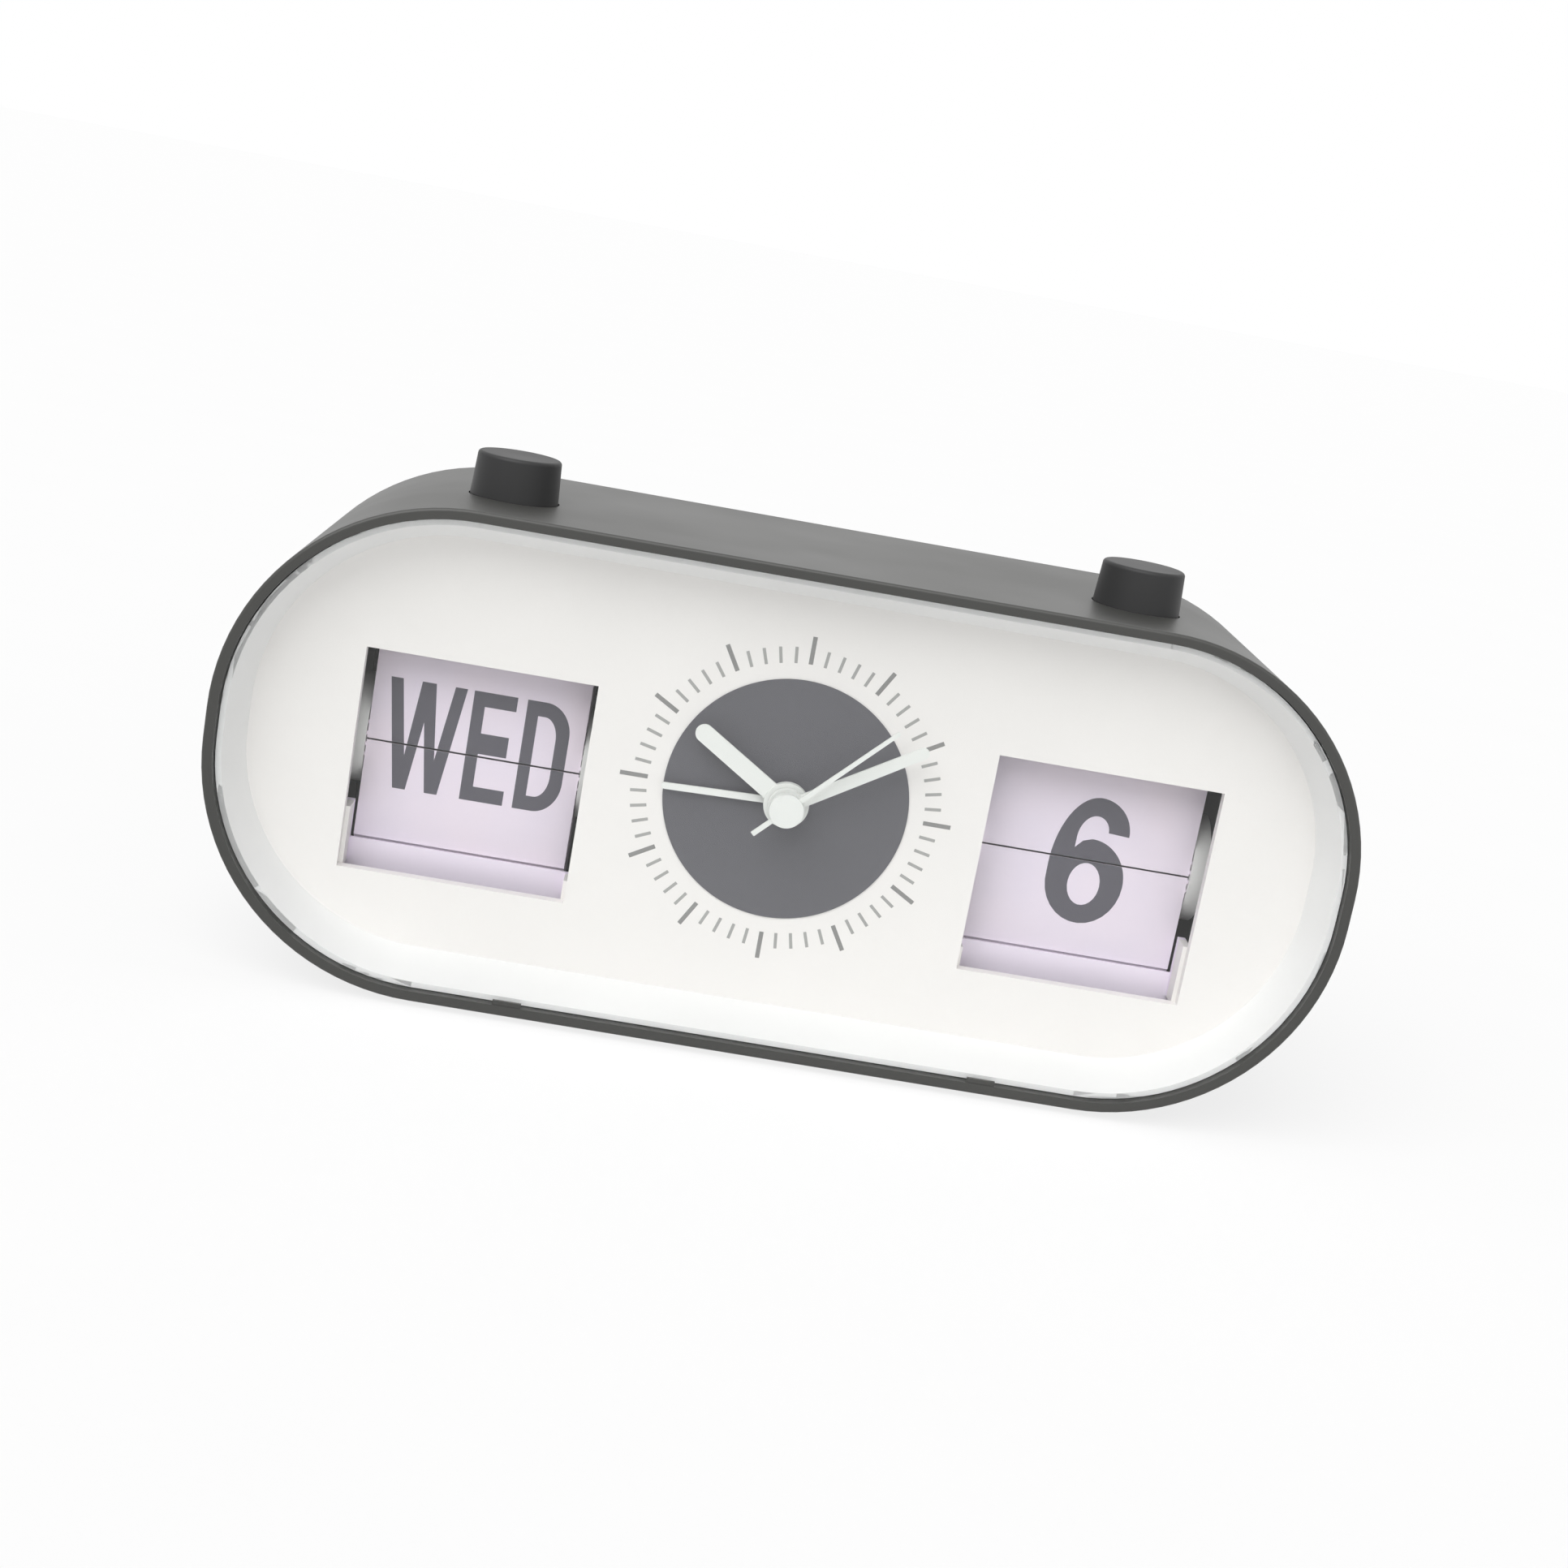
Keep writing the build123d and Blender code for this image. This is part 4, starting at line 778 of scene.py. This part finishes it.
day_x = joints["day_drum_turn"]["pos_m"][0] / MM
date_x = joints["date_drum_turn"]["pos_m"][0] / MM
word_bottom = 30.0
digit_bottom = 26.65
next_word_shift = 0.1
digit_shift = 0.5
wed = [letter_w(), letter_e(), letter_d()]
thu = [letter_t(), letter_h(), letter_u()]
show_card("day", "today", wed, [1.1, 1.6], day_x, word_bottom, upcoming=False)
show_card("day", "next", thu, [1.6, 2.0], day_x + next_word_shift, word_bottom, upcoming=True)
show_card("date", "today", [digit_six()], [], date_x + digit_shift, digit_bottom, upcoming=False)
show_card("date", "next", [digit_seven()], [], date_x + digit_shift, digit_bottom, upcoming=True)

# Minute ticks on the dial, a longer one at each hour
disc_low, disc_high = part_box("dial_center_disc")
dial_center = (disc_low + disc_high) / 2
plate_low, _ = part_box("dial_plate")


def print_ticks(name, minutes, width, inner, outer, look):
    """Ticks at some of the sixty minutes, between two distances from the dial's centre."""
    outlines = []
    for minute in minutes:
        angle = math.radians(6 * minute)
        corners = [
            (-width / 2, inner), (width / 2, inner), (width / 2, outer), (-width / 2, outer)
        ]
        outlines.append([
            (
                dial_center.x / MM + x * math.cos(angle) + z * math.sin(angle),
                dial_center.z / MM - x * math.sin(angle) + z * math.cos(angle),
            )
            for x, z in corners
        ])
    flat_shape(name, outlines, look, "case", Matrix.Translation((0, plate_low.y, 0)))


hours = range(0, 60, 5)
other_minutes = [minute for minute in range(60) if minute not in hours]
print_ticks("hour_ticks", hours, width=0.7, inner=22.15, outer=26.6, look=long_tick_material)
print_ticks(
    "minute_ticks", other_minutes, width=0.5, inner=22.1, outer=24.7, look=short_tick_material
)


# Floor, light and camera

def white_rays(tree):
    """1 for rays from the camera, in reflections and through clear parts, and 0 for others."""
    path = tree.nodes.new("ShaderNodeLightPath")
    seen = path.outputs["Is Camera Ray"]
    for ray in ("Is Glossy Ray", "Is Transmission Ray"):
        both = tree.nodes.new("ShaderNodeMath")
        both.operation = "MAXIMUM"
        tree.links.new(seen, both.inputs[0])
        tree.links.new(path.outputs[ray], both.inputs[1])
        seen = both.outputs["Value"]
    return seen


def backdrop_white(name, own_share):
    """White to the rays above, with a share of the shaded surface so that shadows stay."""
    dull_white = (0.92, 0.92, 0.92)
    bright_white = (0.94, 0.94, 0.94)
    made, tree, shader, place = new_material(name)
    grain = noise(tree, place, 40.0, 2.0)
    base = blend_colors(tree, remap(tree, grain, 0, 1), dull_white, bright_white)
    tree.links.new(base, shader.inputs["Base Color"])
    shader.inputs["Roughness"].default_value = 0.8
    glow = tree.nodes.new("ShaderNodeEmission")
    mix = tree.nodes.new("ShaderNodeMixShader")
    tree.links.new(remap(tree, white_rays(tree), 0, 1 - own_share, 0, 1), mix.inputs["Fac"])
    tree.links.new(shader.outputs["BSDF"], mix.inputs[1])
    tree.links.new(glow.outputs["Emission"], mix.inputs[2])
    tree.links.new(mix.outputs["Shader"], tree.nodes["Material Output"].inputs["Surface"])
    return made


reach_m = 6.0
floor_mesh = bpy.data.meshes.new("floor")
floor_corners = [(reach_m * x, reach_m * y, 0) for x, y in ((-1, -1), (1, -1), (1, 1), (-1, 1))]
floor_mesh.from_pydata(floor_corners, [], [(0, 1, 2, 3)])
floor = bpy.data.objects.new("floor", floor_mesh)
bpy.context.scene.collection.objects.link(floor)
floor_mesh.materials.append(backdrop_white("floor_white", own_share=0.2))
floor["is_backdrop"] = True

sky_light = 0.16
world = bpy.data.worlds.new("studio")
bpy.context.scene.world = world
world.use_nodes = True
sky = world.node_tree
background = sky.nodes["Background"]
sky.links.new(remap(sky, white_rays(sky), sky_light, 1.0, 0, 1), background.inputs["Strength"])
background.inputs["Color"].default_value = (1, 1, 1, 1)


def wide_light(name, azimuth, elevation, spread, strength):
    """Very wide, even light from a direction.

    Azimuth is in degrees to the right of the front, elevation in degrees above the floor,
    and spread is the angle over which the light comes in.
    """
    data = bpy.data.lights.new(name, "SUN")
    data.energy = strength
    data.angle = math.radians(spread)
    lamp = bpy.data.objects.new(name, data)
    bpy.context.scene.collection.objects.link(lamp)
    flat = math.cos(math.radians(elevation))
    toward = Vector((
        flat * math.sin(math.radians(azimuth)),
        -flat * math.cos(math.radians(azimuth)),
        math.sin(math.radians(elevation)),
    ))
    lamp.location = toward
    lamp.rotation_euler = toward.to_track_quat("Z", "Y").to_euler()


wide_light("key", azimuth=-30, elevation=50, spread=60, strength=2.65)
wide_light("fill", azimuth=30, elevation=15, spread=70, strength=0.75)
wide_light("back", azimuth=170, elevation=50, spread=60, strength=0.3)

# The camera stands where the photo was taken from
photo_side = 1932
focal_pixels = 2979.5
principal_pixel = (973.9, 964.0)
camera_right = Vector((0.9843, -0.0145, 0.1761))
camera_up = Vector((-0.1676, 0.2377, 0.9568))
camera_place_m = Vector((-0.0211, -0.3917, 0.1323))
camera_data = bpy.data.cameras.new("camera")
camera_data.sensor_width = 36.0
camera_data.lens = focal_pixels / photo_side * camera_data.sensor_width
camera_data.shift_x = 0.5 - principal_pixel[0] / photo_side
camera_data.shift_y = principal_pixel[1] / photo_side - 0.5
camera_data.clip_start = 0.01
camera_data.clip_end = 50.0
camera = bpy.data.objects.new("camera", camera_data)
bpy.context.scene.collection.objects.link(camera)
right = camera_right.normalized()
up = (camera_up - camera_up.dot(right) * right).normalized()
back = right.cross(up)
turn = Matrix((right, up, back)).transposed().to_4x4()
camera.matrix_world = Matrix.Translation(camera_place_m) @ turn
bpy.context.scene.camera = camera
bpy.context.scene.view_settings.view_transform = "Standard"

low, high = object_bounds()
